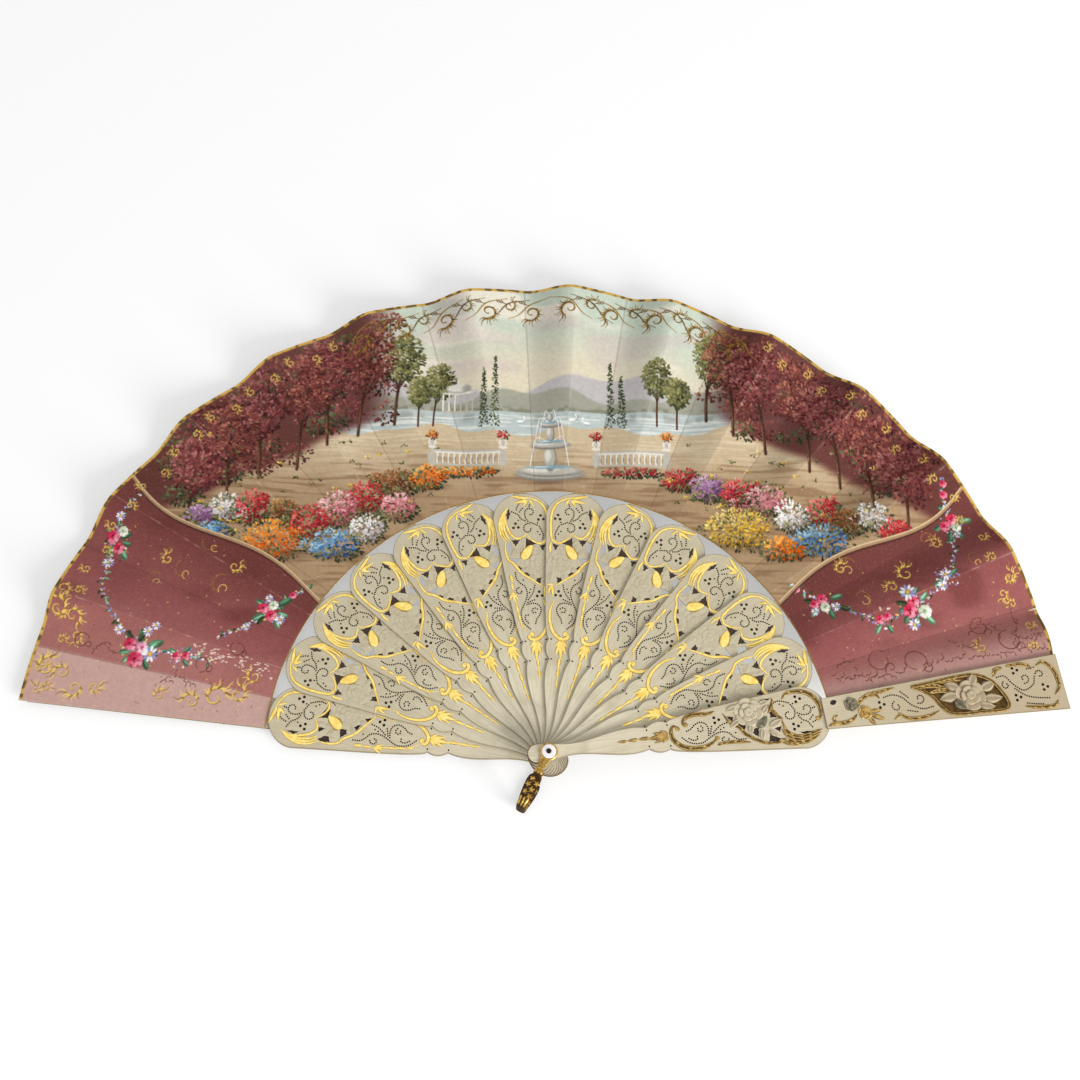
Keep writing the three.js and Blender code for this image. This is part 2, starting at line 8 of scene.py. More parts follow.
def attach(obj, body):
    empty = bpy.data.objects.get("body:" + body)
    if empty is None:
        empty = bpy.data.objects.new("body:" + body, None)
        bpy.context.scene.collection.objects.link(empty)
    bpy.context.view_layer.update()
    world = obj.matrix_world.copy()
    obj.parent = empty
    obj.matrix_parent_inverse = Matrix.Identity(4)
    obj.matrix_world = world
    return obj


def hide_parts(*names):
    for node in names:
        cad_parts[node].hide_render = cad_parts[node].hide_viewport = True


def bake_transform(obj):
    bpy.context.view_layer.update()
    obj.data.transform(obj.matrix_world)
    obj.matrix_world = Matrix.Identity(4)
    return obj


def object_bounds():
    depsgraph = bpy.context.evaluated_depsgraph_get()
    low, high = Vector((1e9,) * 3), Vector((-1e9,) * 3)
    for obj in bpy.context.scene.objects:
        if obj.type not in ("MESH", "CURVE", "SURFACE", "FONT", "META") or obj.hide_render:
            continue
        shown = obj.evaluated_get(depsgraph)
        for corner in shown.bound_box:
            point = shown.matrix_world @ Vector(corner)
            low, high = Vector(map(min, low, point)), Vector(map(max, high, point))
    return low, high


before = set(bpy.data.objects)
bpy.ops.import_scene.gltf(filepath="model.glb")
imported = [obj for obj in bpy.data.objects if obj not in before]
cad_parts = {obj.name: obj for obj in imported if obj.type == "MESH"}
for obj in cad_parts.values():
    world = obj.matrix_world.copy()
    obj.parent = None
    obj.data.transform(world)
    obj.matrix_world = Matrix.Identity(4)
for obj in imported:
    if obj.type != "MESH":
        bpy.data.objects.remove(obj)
cad_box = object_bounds()


# The table, the light and the camera
# The fan lies open on a white table, under one wide lamp on the rivet's right and even light from all
# round. The camera stands over the rivet, a little to its left, and looks along the middle sticks.

MILLIMETRE = 0.001
CAMERA_PLACE = (-0.0257, -0.1605, 0.7186)
CAMERA_TURN_DEG = (21.22, -1.84, 0.38)
CAMERA_LENS = 48.31
CAMERA_FILM = 36.0
TABLE_SIZE = 8.0
TABLE_DROP = 0.0003  # below the rivet's rear end
TABLE_WHITE = (0.6, 0.6, 0.6, 1)
TABLE_GLOW = 0.43  # what the white background adds to the lit table
SKY_LIGHT = 0.62
LAMP_PLACE = (1.4, -1.28, 0.76)
LAMP_TARGET = (0.0, 0.12, 0.0)
LAMP_SIZE = 1.2
LAMP_WATTS = 53


def feed(tree, node, values):
    """Sets inputs of a node, by number or label, to a constant or to what another node puts out."""
    for socket, value in values.items():
        if isinstance(value, bpy.types.NodeSocket):
            tree.links.new(value, node.inputs[socket])
        else:
            node.inputs[socket].default_value = value


def add_node(tree, kind, values=None, **settings):
    """A shader node with its settings and its inputs."""
    node = tree.nodes.new(kind)
    for name, setting in settings.items():
        setattr(node, name, setting)
    feed(tree, node, values or {})
    return node


def new_material(name):
    material = bpy.data.materials.new(name)
    material.use_nodes = True
    tree = material.node_tree
    return material, tree, tree.nodes["Principled BSDF"]


def background_rays(tree):
    """One where a ray sees the background itself, in metal or through glass too, and zero for light."""
    path = add_node(tree, "ShaderNodeLightPath")
    total = path.outputs["Is Camera Ray"]
    for other in ("Is Glossy Ray", "Is Transmission Ray"):
        rays = {0: total, 1: path.outputs[other]}
        total = add_node(tree, "ShaderNodeMath", rays, operation="ADD", use_clamp=True).outputs[0]
    return total


def new_object(name, data):
    item = bpy.data.objects.new(name, data)
    bpy.context.collection.objects.link(item)
    return item


half = TABLE_SIZE / 2
table_level = cad_box[0][2] - TABLE_DROP
table_mesh = bpy.data.meshes.new("table")
table_corners = [(-half, -half), (half, -half), (half, half), (-half, half)]
table_mesh.from_pydata([(x, y, table_level) for x, y in table_corners], [], [(0, 1, 2, 3)])
new_object("table", table_mesh)

table_finish, tree, shader = new_material("white_table")
feed(tree, shader, {"Base Color": TABLE_WHITE, "Roughness": 0.9, "Specular IOR Level": 0.1})
glow = {0: background_rays(tree), 1: TABLE_GLOW}
strength = add_node(tree, "ShaderNodeMath", glow, operation="MULTIPLY").outputs[0]
glowing = add_node(tree, "ShaderNodeEmission", {"Strength": strength}).outputs[0]
surface = add_node(tree, "ShaderNodeAddShader", {0: shader.outputs[0], 1: glowing}).outputs[0]
feed(tree, tree.nodes["Material Output"], {"Surface": surface})
table_mesh.materials.append(table_finish)

sky = bpy.data.worlds.new("even_light")
sky.use_nodes = True
bpy.context.scene.world = sky
tree = sky.node_tree
levels = {"Value": background_rays(tree), "To Min": SKY_LIGHT, "To Max": 1.0}
strength = add_node(tree, "ShaderNodeMapRange", levels).outputs[0]
feed(tree, tree.nodes["Background"], {"Color": (1, 1, 1, 1), "Strength": strength})

lamp_data = bpy.data.lights.new("wide_lamp", "AREA")
lamp_data.shape = "DISK"
lamp_data.size = LAMP_SIZE
lamp_data.energy = LAMP_WATTS
lamp = new_object("wide_lamp", lamp_data)
lamp.location = LAMP_PLACE
lamp.rotation_euler = (Vector(LAMP_TARGET) - Vector(LAMP_PLACE)).to_track_quat("-Z", "Y").to_euler()

camera_data = bpy.data.cameras.new("camera")
camera_data.lens = CAMERA_LENS
camera_data.sensor_width = CAMERA_FILM
camera = new_object("camera", camera_data)
camera.location = CAMERA_PLACE
camera.rotation_euler = [math.radians(turn) for turn in CAMERA_TURN_DEG]
bpy.context.scene.camera = camera
bpy.context.scene.view_settings.view_transform = "Standard"


# The inner sticks
# Twelve thin blades sawn from bone, each with a round tail on the rivet, a scalloped edge, a head full of
# drilled dots, and a carved rose between openings. A slim rib runs on from the head behind the leaf.

STICK_COUNT = 14
LAST = STICK_COUNT - 1
PANEL_ANGLE = math.radians(6.25)
TAIL_LENGTH = 10.5
TAIL_HALF_WIDTH = 4.9
WAIST = (12.0, 2.8)
SHOULDER = (41.5, 6.5)
LOWER_NOTCH = (49.5, 5.4)
SCALLOP = (54.75, 9.4)
UPPER_NOTCH = (60.0, 6.6)
SWELL = (60.0, 9.7)
HEAD_ENTRY = (100.0, 12.6)
HEAD = (127.5, 15.7)
BLADE_TIP = 141.7
EDGE_ROUND = 0.1
STICK_THICKNESS = 0.7
STICK_PITCH = 1.0
FIRST_STICK_LEVEL = 5.05
BORE_RADIUS = 1.25
CUT_SPACING = 40.0

# The corners of the openings round the rose, along and across. The first ones are blind, floored with dark
# painted shade, and the clear ones go right through.
DARK_FLOORED_OPENINGS = [
    [(112.4, 6.4), (116.7, 0.3), (110.8, -0.5)],
    [(115.5, -2.5), (116.0, -7.7), (111.8, -5.3)],
    [(112.2, 10.7), (111.4, 6.9), (106.7, 9.2)],
    [(94.0, -0.1), (95.6, 0.9), (98.2, -1.6), (101.4, -4.7), (100.7, -5.8), (97.4, -3.0)],
    [(93.8, 6.5), (93.6, 1.8), (91.2, 3.2), (88.8, 5.3)],
    [(134.6, -6.9), (130.6, -6.3), (125.8, -8.3), (130.2, -8.7)],
]
CLEAR_OPENINGS = [
    [(115.1, -7.9), (114.6, -10.2), (108.4, -9.9), (110.5, -6.7)],
    [(105.6, -3.0), (105.9, -9.4), (101.9, -6.2)],
]
# Small blind pits at the notches, floored dark: painted shadow of the gaps between neighbouring blades.
NOTCH_HOLES = [(49.5, 4.1), (60.0, 5.3)]
NOTCH_HOLE_SIZE = (1.2, 0.8)
BERRY_BUNCHES = [(126.8, 9.4), (123.3, -4.2), (84.5, 4.4)]
BERRY_RADIUS = 0.78
BERRY_RING = 1.5
DOT_RADIUS = 0.45
DOT_SPACING = 1.14
DOT_SIDES = 8
DOT_CLEARANCES = (2.1, 2.25)  # from other holes and from other dots, in radii of a dot
OPENING_BOW = 0.1  # how far an opening's edges bow inwards, as a share of its size
OPENING_NOTCH = 0.3
NOTCHED_EDGE = 3.5  # edges that are longer have a notch


def turned(reach, turn):
    """How far a reach at an angle goes along and across."""
    return reach * np.cos(turn), reach * np.sin(turn)


def curl(x, y, radius, end_radius, start_deg, sweep_deg, steps=10):
    """A scroll's spiral end, as points round a middle."""
    turn = np.radians(np.linspace(start_deg, start_deg + sweep_deg, steps))
    along, across = turned(np.linspace(radius, end_radius, steps), turn)
    return list(zip(x + along, y + across))


# The dotted vines of the head and of the long cartouche below the rose
HEAD_VINES = [
    [(125.6, 2.4), (127.8, 1.3)] + curl(130.4, 4.0, 2.9, 1.2, -100, 285),
    [(123.0, 7.0), (125.0, 3.4), (126.0, 0.8), (127.6, -1.3), (129.8, -2.5), (131.7, -5.6)],
    [(133.1, 0.2), (131.4, -1.4), (130.2, -2.2)],
    [(135.8, -1.4), (133.9, -2.6), (131.4, -3.4)],
    curl(121.3, 2.3, 3.2, 1.2, 14, -280),
    [(126.4, -1.4), (126.5, -3.2), (125.6, -4.8)],
    [(114.8, 9.1), (117.0, 9.7), (119.4, 9.2), (122.0, 8.2), (124.2, 7.4)],
    [(117.6, 8.0), (118.9, 7.4), (119.8, 6.1)],
    [(134.8, 4.2), (133.8, 3.9)],
]
CARTOUCHE_VINES = [
    [(97.5, -6.9), (94.0, -6.6), (91.3, -4.7), (90.0, -3.0), (87.0, -1.9), (83.5, -2.3), (79.5, -4.2),
     (76.2, -5.9), (73.0, -6.0), (69.3, -4.8), (66.3, -2.1)],
    [(93.1, -3.2), (91.6, -3.8)],
    curl(87.2, -5.6, 2.0, 1.0, -8, -250),
    [(89.6, 2.4), (86.5, 1.5), (84.3, 0.1), (82.2, -1.6)],
    [(87.7, 0.1), (86.0, -0.6)],
    [(82.2, 2.6), (81.4, 0.4), (80.7, -2.0)],
    [(79.6, -2.7), (80.0, 0.6), (79.0, 3.2), (76.4, 4.4), (73.6, 3.5), (71.4, 1.7), (69.1, 0.9)],
    curl(75.8, 1.0, 1.7, 1.0, 60, -265),
    [(73.9, -2.5), (73.6, -4.0), (71.6, -4.1), (69.6, -2.9)],
]


def bezier(*corners, steps):
    """Points on a curve pulled by its corners, of any number."""
    share = np.linspace(0, 1, steps + 1)[:, None]
    corners = np.asarray(corners, float)
    order = len(corners) - 1
    pulls = [math.comb(order, k) * share ** k * (1 - share) ** (order - k) for k in range(order + 1)]
    return sum(pull * corner for pull, corner in zip(pulls, corners))


def ellipse_arc(x, along, across, start_deg, end_deg, steps):
    turn = np.radians(np.linspace(start_deg, end_deg, steps + 1))
    return np.column_stack((x + along * np.cos(turn), across * np.sin(turn)))


def circle(x, y, radius, sides):
    return ellipse_arc(0, radius, radius, 0, 360, sides)[:-1] + (x, y)


def pointed_oval(x, y, length, width, turn_deg):
    turn = math.radians(turn_deg)
    there = bezier((-length / 2, 0), (0, -width), (length / 2, 0), steps=7)[:-1]
    oval = np.vstack((there, -there))
    along = oval[:, 0] * math.cos(turn) - oval[:, 1] * math.sin(turn)
    across = oval[:, 0] * math.sin(turn) + oval[:, 1] * math.cos(turn)
    return np.column_stack((x + along, y + across))


def opening(corners):
    """A pierced opening: its edges bow inwards round petals, with a small notch in the longer ones."""
    corners = np.asarray(corners, float)
    following = np.roll(corners, -1, axis=0)
    area = np.sum(corners[:, 0] * following[:, 1] - corners[:, 1] * following[:, 0]) / 2
    if area < 0:
        corners, following = corners[::-1], np.roll(corners[::-1], -1, axis=0)
    depth = OPENING_BOW * math.sqrt(abs(area))
    points = []
    for here, there in zip(corners, following):
        along = there - here
        length = np.linalg.norm(along)
        inward = np.array((-along[1], along[0])) / length
        for step in range(6):
            share = step / 6
            notch = OPENING_NOTCH if step == 3 and length > NOTCHED_EDGE else 0
            points.append(here + share * along + inward * (4 * depth * share * (1 - share) - notch))
    return np.array(points)


def berry_bunch(x, y):
    middles = circle(x, y, BERRY_RING, 3)
    return [circle(*middle, BERRY_RADIUS, 10) for middle in middles]


def blade_outline():
    """The blade's edge, counter-clockwise from the tail."""
    tail_middle = TAIL_HALF_WIDTH - TAIL_LENGTH
    third = (SHOULDER[0] - WAIST[0]) / 3
    stretches = [
        ellipse_arc(tail_middle, TAIL_HALF_WIDTH, TAIL_HALF_WIDTH, 180, 90, 10),
        bezier((tail_middle, TAIL_HALF_WIDTH), (0, TAIL_HALF_WIDTH), (WAIST[0] / 2, WAIST[1]), WAIST,
               steps=8),
        bezier(WAIST, (WAIST[0] + third, WAIST[1]), (SHOULDER[0] - third, SHOULDER[1]), SHOULDER,
               steps=12),
        bezier(SHOULDER, ((SHOULDER[0] + LOWER_NOTCH[0]) / 2, SHOULDER[1]), LOWER_NOTCH, steps=6),
        bezier(LOWER_NOTCH, SCALLOP, UPPER_NOTCH, steps=10),
        bezier(UPPER_NOTCH, SWELL, HEAD_ENTRY, HEAD, steps=26),
        ellipse_arc(HEAD[0], BLADE_TIP - HEAD[0], HEAD[1], 90, 0, 20),
    ]
    edge = np.vstack([stretches[0]] + [stretch[1:] for stretch in stretches[1:]])
    lower = edge * (1, -1)
    return np.vstack((lower, edge[1:-1][::-1]))


def smooth_line(corners, spacing):
    """Points at even spacing along a smooth line through the corners."""
    corners = np.asarray(corners, float)
    ends = (2 * corners[:1] - corners[1:2], 2 * corners[-1:] - corners[-2:-1])
    padded = np.vstack((ends[0], corners, ends[1]))
    share = np.linspace(0, 1, 16, endpoint=False)[:, None]
    fine = []
    for a, b, c, d in zip(padded, padded[1:], padded[2:], padded[3:]):
        bend = (2 * a - 5 * b + 4 * c - d) * share ** 2 + (3 * b - a - 3 * c + d) * share ** 3
        fine.append(b + ((c - a) * share + bend) / 2)
    fine = np.vstack(fine + [corners[-1:]])
    steps = np.linalg.norm(np.diff(fine, axis=0), axis=1)
    length = np.concatenate(([0], np.cumsum(steps)))
    even = np.linspace(0, length[-1], max(2, round(length[-1] / spacing) + 1))
    return np.column_stack([np.interp(even, length, fine[:, axis]) for axis in (0, 1)])


def drilled_dots(vines, others):
    """Round dots along the vines, clear of each other and of the other holes."""
    taken = np.vstack(others)
    middles = []
    for vine in vines:
        for point in smooth_line(vine, DOT_SPACING):
            clear = np.hypot(*(taken - point).T).min() > DOT_CLEARANCES[0] * DOT_RADIUS
            apart = all(math.hypot(*(point - other)) > DOT_CLEARANCES[1] * DOT_RADIUS for other in middles)
            if clear and apart:
                middles.append(point)
    return [circle(x, y, DOT_RADIUS, DOT_SIDES) for x, y in middles]


def unit_length(steps):
    return steps / np.linalg.norm(steps, axis=1)[:, None]


def shifted(loop, distance):
    """A closed loop moved to its own left."""
    before = loop - np.roll(loop, 1, axis=0)
    after = np.roll(loop, -1, axis=0) - loop
    heading = unit_length(unit_length(before) + unit_length(after))
    return loop + distance * np.column_stack((-heading[:, 1], heading[:, 0]))


def points_inside(points, loop):
    """True for the points inside a closed loop."""
    following = np.roll(loop, -1, axis=0)
    x, y = points[:, :1], points[:, 1:]
    crosses = (loop[:, 1] > y) != (following[:, 1] > y)
    rise = np.where(following[:, 1] == loop[:, 1], 1, following[:, 1] - loop[:, 1])
    meets = loop[:, 0] + (y - loop[:, 1]) * (following[:, 0] - loop[:, 0]) / rise
    return (crosses & (x < meets)).sum(axis=1) % 2 == 1


def flat_triangles(loops):
    """Triangles that fill the first loop and leave the others open."""
    flat = np.concatenate(loops)
    owner = np.repeat(np.arange(len(loops)), [len(loop) for loop in loops])
    edges = []
    for loop in loops:
        start = len(edges)
        edges.extend((start + i, start + (i + 1) % len(loop)) for i in range(len(loop)))
    found = delaunay_2d_cdt([Vector(point) for point in flat.tolist()], edges, [], 0, 1e-6)
    origin = np.array([sources[0] for sources in found[3]])
    triangles = origin[np.array(found[2])]
    owners = owner[triangles]
    middles = flat[triangles].mean(axis=1)
    shared = np.where((owners[:, 0] == owners[:, 1]) & (owners[:, 0] == owners[:, 2]), owners[:, 0], 0)
    wanted = points_inside(middles, loops[0])
    for hole in set(shared[shared > 0].tolist()):
        own = shared == hole
        wanted[own] &= ~points_inside(middles[own], loops[hole])
    kept = triangles[wanted]
    first, second, third = (flat[kept[:, corner]] for corner in range(3))
    (ax, ay), (bx, by) = (second - first).T, (third - first).T
    clockwise = ax * by - ay * bx < 0
    kept[clockwise] = kept[clockwise][:, ::-1]
    return kept


def grid_faces(rows, columns, closed=False):
    """Faces of four corners between rows of points. If closed, the last column joins the first."""
    at = np.arange(rows * columns).reshape(rows, columns)
    here, beside = (at, np.roll(at, -1, axis=1)) if closed else (at[:, :-1], at[:, 1:])
    return np.stack((here[:-1], here[1:], beside[1:], beside[:-1]), axis=-1).reshape(-1, 4)


def shaped(name, points, faces, finishes, materials, crease_deg):
    """A mesh object from points in millimetres, smooth but for its sharp creases."""
    mesh = bpy.data.meshes.new(name)
    mesh.from_pydata((points * MILLIMETRE).tolist(), [], faces)
    mesh.polygons.foreach_set("material_index", finishes)
    mesh.polygons.foreach_set("use_smooth", [True] * len(faces))
    mesh.set_sharp_from_angle(angle=math.radians(crease_deg))
    for material in materials:
        mesh.materials.append(material)
    return new_object(name, mesh)


class Carving:
    """Points, faces and shading of one piece, in millimetres along, across and above its stick."""

    def __init__(self):
        self.points = [np.empty((0, 3))]
        self.shades = [np.empty(0)]
        self.faces = []
        self.finishes = []
        self.count = 0

    def add(self, points, faces, shades=0.0, finish=0):
        """More points and faces, with one shade and finish or with a list of them."""
        points = np.asarray(points, float)
        self.points.append(points)
        self.shades.append(np.broadcast_to(np.asarray(shades, float), len(points)))
        self.faces.extend(tuple(int(corner) + self.count for corner in face) for face in faces)
        self.finishes.extend(np.broadcast_to(finish, len(faces)).tolist())
        self.count += len(points)

    def add_copy(self, other, side=1, lift=0.0, over=False):
        """Another carving, mirrored where side is -1, or turned over about the stick."""
        points = np.concatenate(other.points) * (1, side, 1)
        faces = other.faces if side > 0 else [face[::-1] for face in other.faces]
        if over:
            points = points * (1, -1, -1)
        self.add(points + (0, 0, lift), faces, np.concatenate(other.shades), other.finishes)

    def piece(self, name, finishes, turn=0.0, level=0.0, crease_deg=35, cut=0.0):
        """The mesh object, turned about the rivet to its stick's angle. Its cut says from where in the bone
        it was sawn, so that no two sticks have the same grain."""
        local = np.concatenate(self.points)
        along, across, height = local.T
        x = along * math.cos(turn) - across * math.sin(turn)
        y = along * math.sin(turn) + across * math.cos(turn)
        placed = np.column_stack((x, y, height + level))
        item = shaped(name, placed, self.faces, self.finishes, finishes, crease_deg)
        place = item.data.attributes.new("place", "FLOAT_VECTOR", "POINT")
        place.data.foreach_set("vector", (local + (0, 0, cut)).ravel())
        shade = item.data.attributes.new("shade", "FLOAT", "POINT")
        shade.data.foreach_set("value", np.concatenate(self.shades))
        return item


def at_level(loop, height):
    return np.column_stack((loop, np.full(len(loop), height)))


def carve_wall(carving, rings, shades=0.0, finish=0):
    """A wall between rings of one loop, each given with its level, from the highest down."""
    points = np.vstack([at_level(*ring) for ring in rings])
    faces = np.roll(grid_faces(len(rings), len(rings[0][0]), closed=True), -1, axis=1)
    carving.add(points, faces, shades, finish)


# A band along each blade's edge, and the walls of its clear holes, are painted darker: dirt, and painted
# shade where the stacked sticks and the holes fall into shade.
DARKENED_EDGE_WIDTH = 0.48
EDGE_DIRT_AND_SHADE = 0.9
HOLE_DIRT_AND_SHADE = (0.0, 0.35, 0.8, 0.8)  # from the upper rim of a hole to the lower one


def carve_plate(carving, outline, clear_holes, blind_holes, thickness, level=0.0, depth=0.3, grounds=()):
    """A flat plate with rounded edges and holes right through it. The blind holes and the sunk grounds are
    cut from both faces."""
    rims = [shifted(outline, EDGE_ROUND)] + [shifted(hole, -EDGE_ROUND) for hole in clear_holes]
    sunk = [(hole, 1) for hole in blind_holes] + [(ground, 2) for ground in grounds]
    inset = shifted(outline, DARKENED_EDGE_WIDTH)
    loops = [inset] + rims[1:] + [loop for loop, finish in sunk]
    flat = np.concatenate(loops)
    triangles = flat_triangles(loops)
    top = level + thickness
    carving.add(at_level(flat, top), triangles)
    carving.add(at_level(flat, level), triangles[:, ::-1])
    heights = (top, top, top - EDGE_ROUND, level + EDGE_ROUND, level, level)
    shades = (0.0, EDGE_DIRT_AND_SHADE, EDGE_DIRT_AND_SHADE, EDGE_DIRT_AND_SHADE, EDGE_DIRT_AND_SHADE, 0.0)
    edge_rings = (inset, rims[0], outline, outline, rims[0], inset)
    carve_wall(carving, list(zip(edge_rings, heights)), np.repeat(shades, len(outline)))
    for rim, hole in zip(rims[1:], clear_holes):
        hole_rings = [loop[::-1] for loop in (rim, hole, hole, rim)]
        carve_wall(carving, list(zip(hole_rings, heights[1:-1])), np.repeat(HOLE_DIRT_AND_SHADE, len(hole)))
    for hole, finish in sunk:
        rim = hole[::-1]
        corners = range(len(hole))
        carve_wall(carving, [(rim, top), (rim, top - depth)], finish=finish)
        carve_wall(carving, [(rim, level + depth), (rim, level)], finish=finish)
        for height, face in ((top - depth, corners), (level + depth, corners[::-1])):
            carving.add(at_level(hole, height), [face], finish=finish)


# The rounds of a rose: the inner and the outer share of its radius, the petals, their foot and their rise
PETAL_ROUNDS = [(0.0, 0.3, 2, 0.7, 0.3), (0.3, 0.63, 5, 0.42, 0.38), (0.63, 1.0, 6, 0.1, 0.5)]
ROSE_SPOKES = 72


def carve_rose(carving, x, y, radius, height, level, darkening=1.0, finish=0):
    """A full-blown rose in relief: a twisted heart and two rounds of petals, each over the next."""
    angle = np.linspace(0, 2 * math.pi, ROSE_SPOKES, endpoint=False)
    points, shades = [], []
    for inner, outer, petals, base, rise in PETAL_ROUNDS:
        for share in np.linspace(0.04, 0.98, 7):
            twist = angle + (1.2 * share if petals == 2 else 0.5 * petals)
            petal = np.abs(np.sin(petals * twist / 2))
            edge = outer * (0.86 + 0.14 * np.sqrt(petal))
            reach = radius * (inner * 0.9 + (edge - inner * 0.9) * share)
            lift = base + rise * np.sqrt(petal) * share ** 0.7
            rolled = np.clip((share - 0.85) / 0.13, 0, 1) * (0.85 if outer == 1.0 else 0.35)
            top = level + height * lift * (1 - rolled)
            along, across = turned(reach, angle)
            points.append(np.column_stack((x + along, y + across, top)))
            # Darker between the petals and at the heart: painted shade in the hollows, with dirt.
            hollow = np.clip(1 - 2.2 * petal, 0, 1) * 0.7 + (0.85 if share < 0.1 and inner > 0 else 0)
            shades.append(darkening * np.clip(hollow, 0, 1))
    points.append(points[-1] * (1, 1, 0) + (0, 0, level))
    shades.append(np.full(ROSE_SPOKES, 0.8))
    faces = [*grid_faces(len(points), ROSE_SPOKES, closed=True), range(ROSE_SPOKES)]
    carving.add(np.vstack(points), faces, np.concatenate(shades), finish)


RIBBON_ACROSS = np.array((-1, -0.62, 0, 0.62, 1))
RIBBON_RISE = np.array((0, 0.8, 1, 0.8, 0))
RIBBON_SHADE = np.array((1, 0.3, 0, 0.3, 1))
VEINED_RISE = np.array((0, 0.92, 0.55, 0.92, 0))
VEINED_SHADE = np.array((0.7, 0.1, 0.8, 0.1, 0.7))
SUNK = 0.02  # how far a ribbon's edges go into what carries it


def carve_ribbon(carving, line, widths, level, lift, veined=False, finish=0, darkening=1.0):
    """A domed band along a line, with its own width at each point."""
    heading = unit_length(np.gradient(line, axis=0))
    left = np.column_stack((-heading[:, 1], heading[:, 0]))
    spread = RIBBON_ACROSS[None, :] * widths[:, None] / 2
    flat = line[:, None, :] + left[:, None, :] * spread[:, :, None]
    full = np.clip(widths / max(widths.max() * 0.6, 1e-6), 0, 1)
    rise, shade = (VEINED_RISE, VEINED_SHADE) if veined else (RIBBON_RISE, RIBBON_SHADE)
    height = level - SUNK + (lift + SUNK) * rise[None, :] * full[:, None]
    points = np.dstack((flat, height)).reshape(-1, 3)
    faces = grid_faces(len(line), len(RIBBON_ACROSS))[:, ::-1]
    carving.add(points, faces, darkening * np.tile(shade, len(line)), finish)


def carve_leaf(carving, x, y, length, width, turn_deg, level, lift, bend=0.0, finish=0, veined=True,
               blunt=1.0, darkening=1.0):
    """A leaf from its stalk, bent to one side. It is pointed, or rounder where blunt is below one."""
    share = np.linspace(0, 1, 12)
    turn = math.radians(turn_deg) + bend * share
    step = length / (len(share) - 1)
    right, up = turned(step, turn)
    line = np.column_stack((x + np.cumsum(right) - right[0], y + np.cumsum(up) - up[0]))
    widths = width * np.clip(np.sin(math.pi * share ** 0.75), 0.03, 1) ** blunt
    carve_ribbon(carving, line, widths, level, lift, veined, finish, darkening)


# The leaves of the carved rose: along, across, length, width, turn in degrees
ROSE = (102.4, 5.3)
ROSE_SIZE = 7.3
ROSE_LEAVES = [
    (106.0, -0.6, 7.2, 4.2, -18), (107.0, -3.4, 6.0, 3.4, -48), (109.4, 1.2, 5.4, 3.0, 62),
    (96.6, 9.2, 7.4, 3.6, 168), (96.0, 3.0, 6.0, 3.4, 192), (99.6, -0.4, 5.0, 3.0, 236),
    (107.8, 9.6, 4.2, 2.2, 20), (112.6, -0.8, 4.4, 2.2, -12), (90.6, 7.6, 4.6, 2.4, 150),
    (110.2, -6.4, 4.4, 2.0, -160),
]
STICK_RELIEF = 0.2
# How dark the hollows of a carved rose are painted: shade with dirt.
ROSE_DIRT_AND_SHADE = 0.3


def blade_holes(dark_floored, through):
    clear = [circle(0, 0, BORE_RADIUS, 24)] + [opening(corners) for corners in through]
    blind = [opening(corners) for corners in dark_floored]
    for x, y in NOTCH_HOLES:
        for side in (-1, 1):
            blind.append(pointed_oval(x, side * y, *NOTCH_HOLE_SIZE, side * 80))
    for bunch in BERRY_BUNCHES:
        blind.extend(berry_bunch(*bunch))
    outline = blade_outline()
    dots = drilled_dots(HEAD_VINES + CARTOUCHE_VINES, [outline] + clear + blind)
    return outline, clear, blind + dots


def carve_rose_spray(carving, rose, leaves, radius, level, relief, darkening):
    carve_rose(carving, *rose, radius, relief, level, darkening=darkening)
    # The carved leaves are painted darker along their edges and veins: painted shade with dirt.
    for x, y, length, width, turn in leaves:
        carve_leaf(carving, x, y, length, width, turn, level, 0.6 * relief, bend=0.3, darkening=darkening)


inner_blade = Carving()
carve_plate(inner_blade, *blade_holes(DARK_FLOORED_OPENINGS, CLEAR_OPENINGS), STICK_THICKNESS)
carve_rose_spray(inner_blade, ROSE, ROSE_LEAVES, ROSE_SIZE, STICK_THICKNESS, STICK_RELIEF, ROSE_DIRT_AND_SHADE)

LEAF_INNER = 142.2
LEAF_RADIUS = 267.0
RIB_THICKNESS = 0.3
RIB_SEAT = 0.1
RIB_START = 135.7
RIB_END = 263.0
RIB_HALF_WIDTHS = (3.6, 2.4)
# How much darker the ribs are painted all over
RIB_DARKENING = 0.25
PLEAT_DEPTH = 7.0
FIRST_DRIFT = 1.9
LAST_DRIFT = -2.3


def stick_angle(stick):
    return math.pi / 2 + (LAST / 2 - stick) * 2 * PANEL_ANGLE


def stick_level(stick):
    return FIRST_STICK_LEVEL + (stick - 1) * STICK_PITCH


def pleat_lift(stick, radius, angle):
    """How far a panel's twist lifts it above its blade, at an angle from the stick's middle."""
    grown = np.clip((radius - LEAF_INNER) / (LEAF_RADIUS - LEAF_INNER), 0, None)
    drift = FIRST_DRIFT + (LAST_DRIFT - FIRST_DRIFT) * (stick - 1) / (LAST - 2)
    return grown * (drift + PLEAT_DEPTH * angle / PANEL_ANGLE)


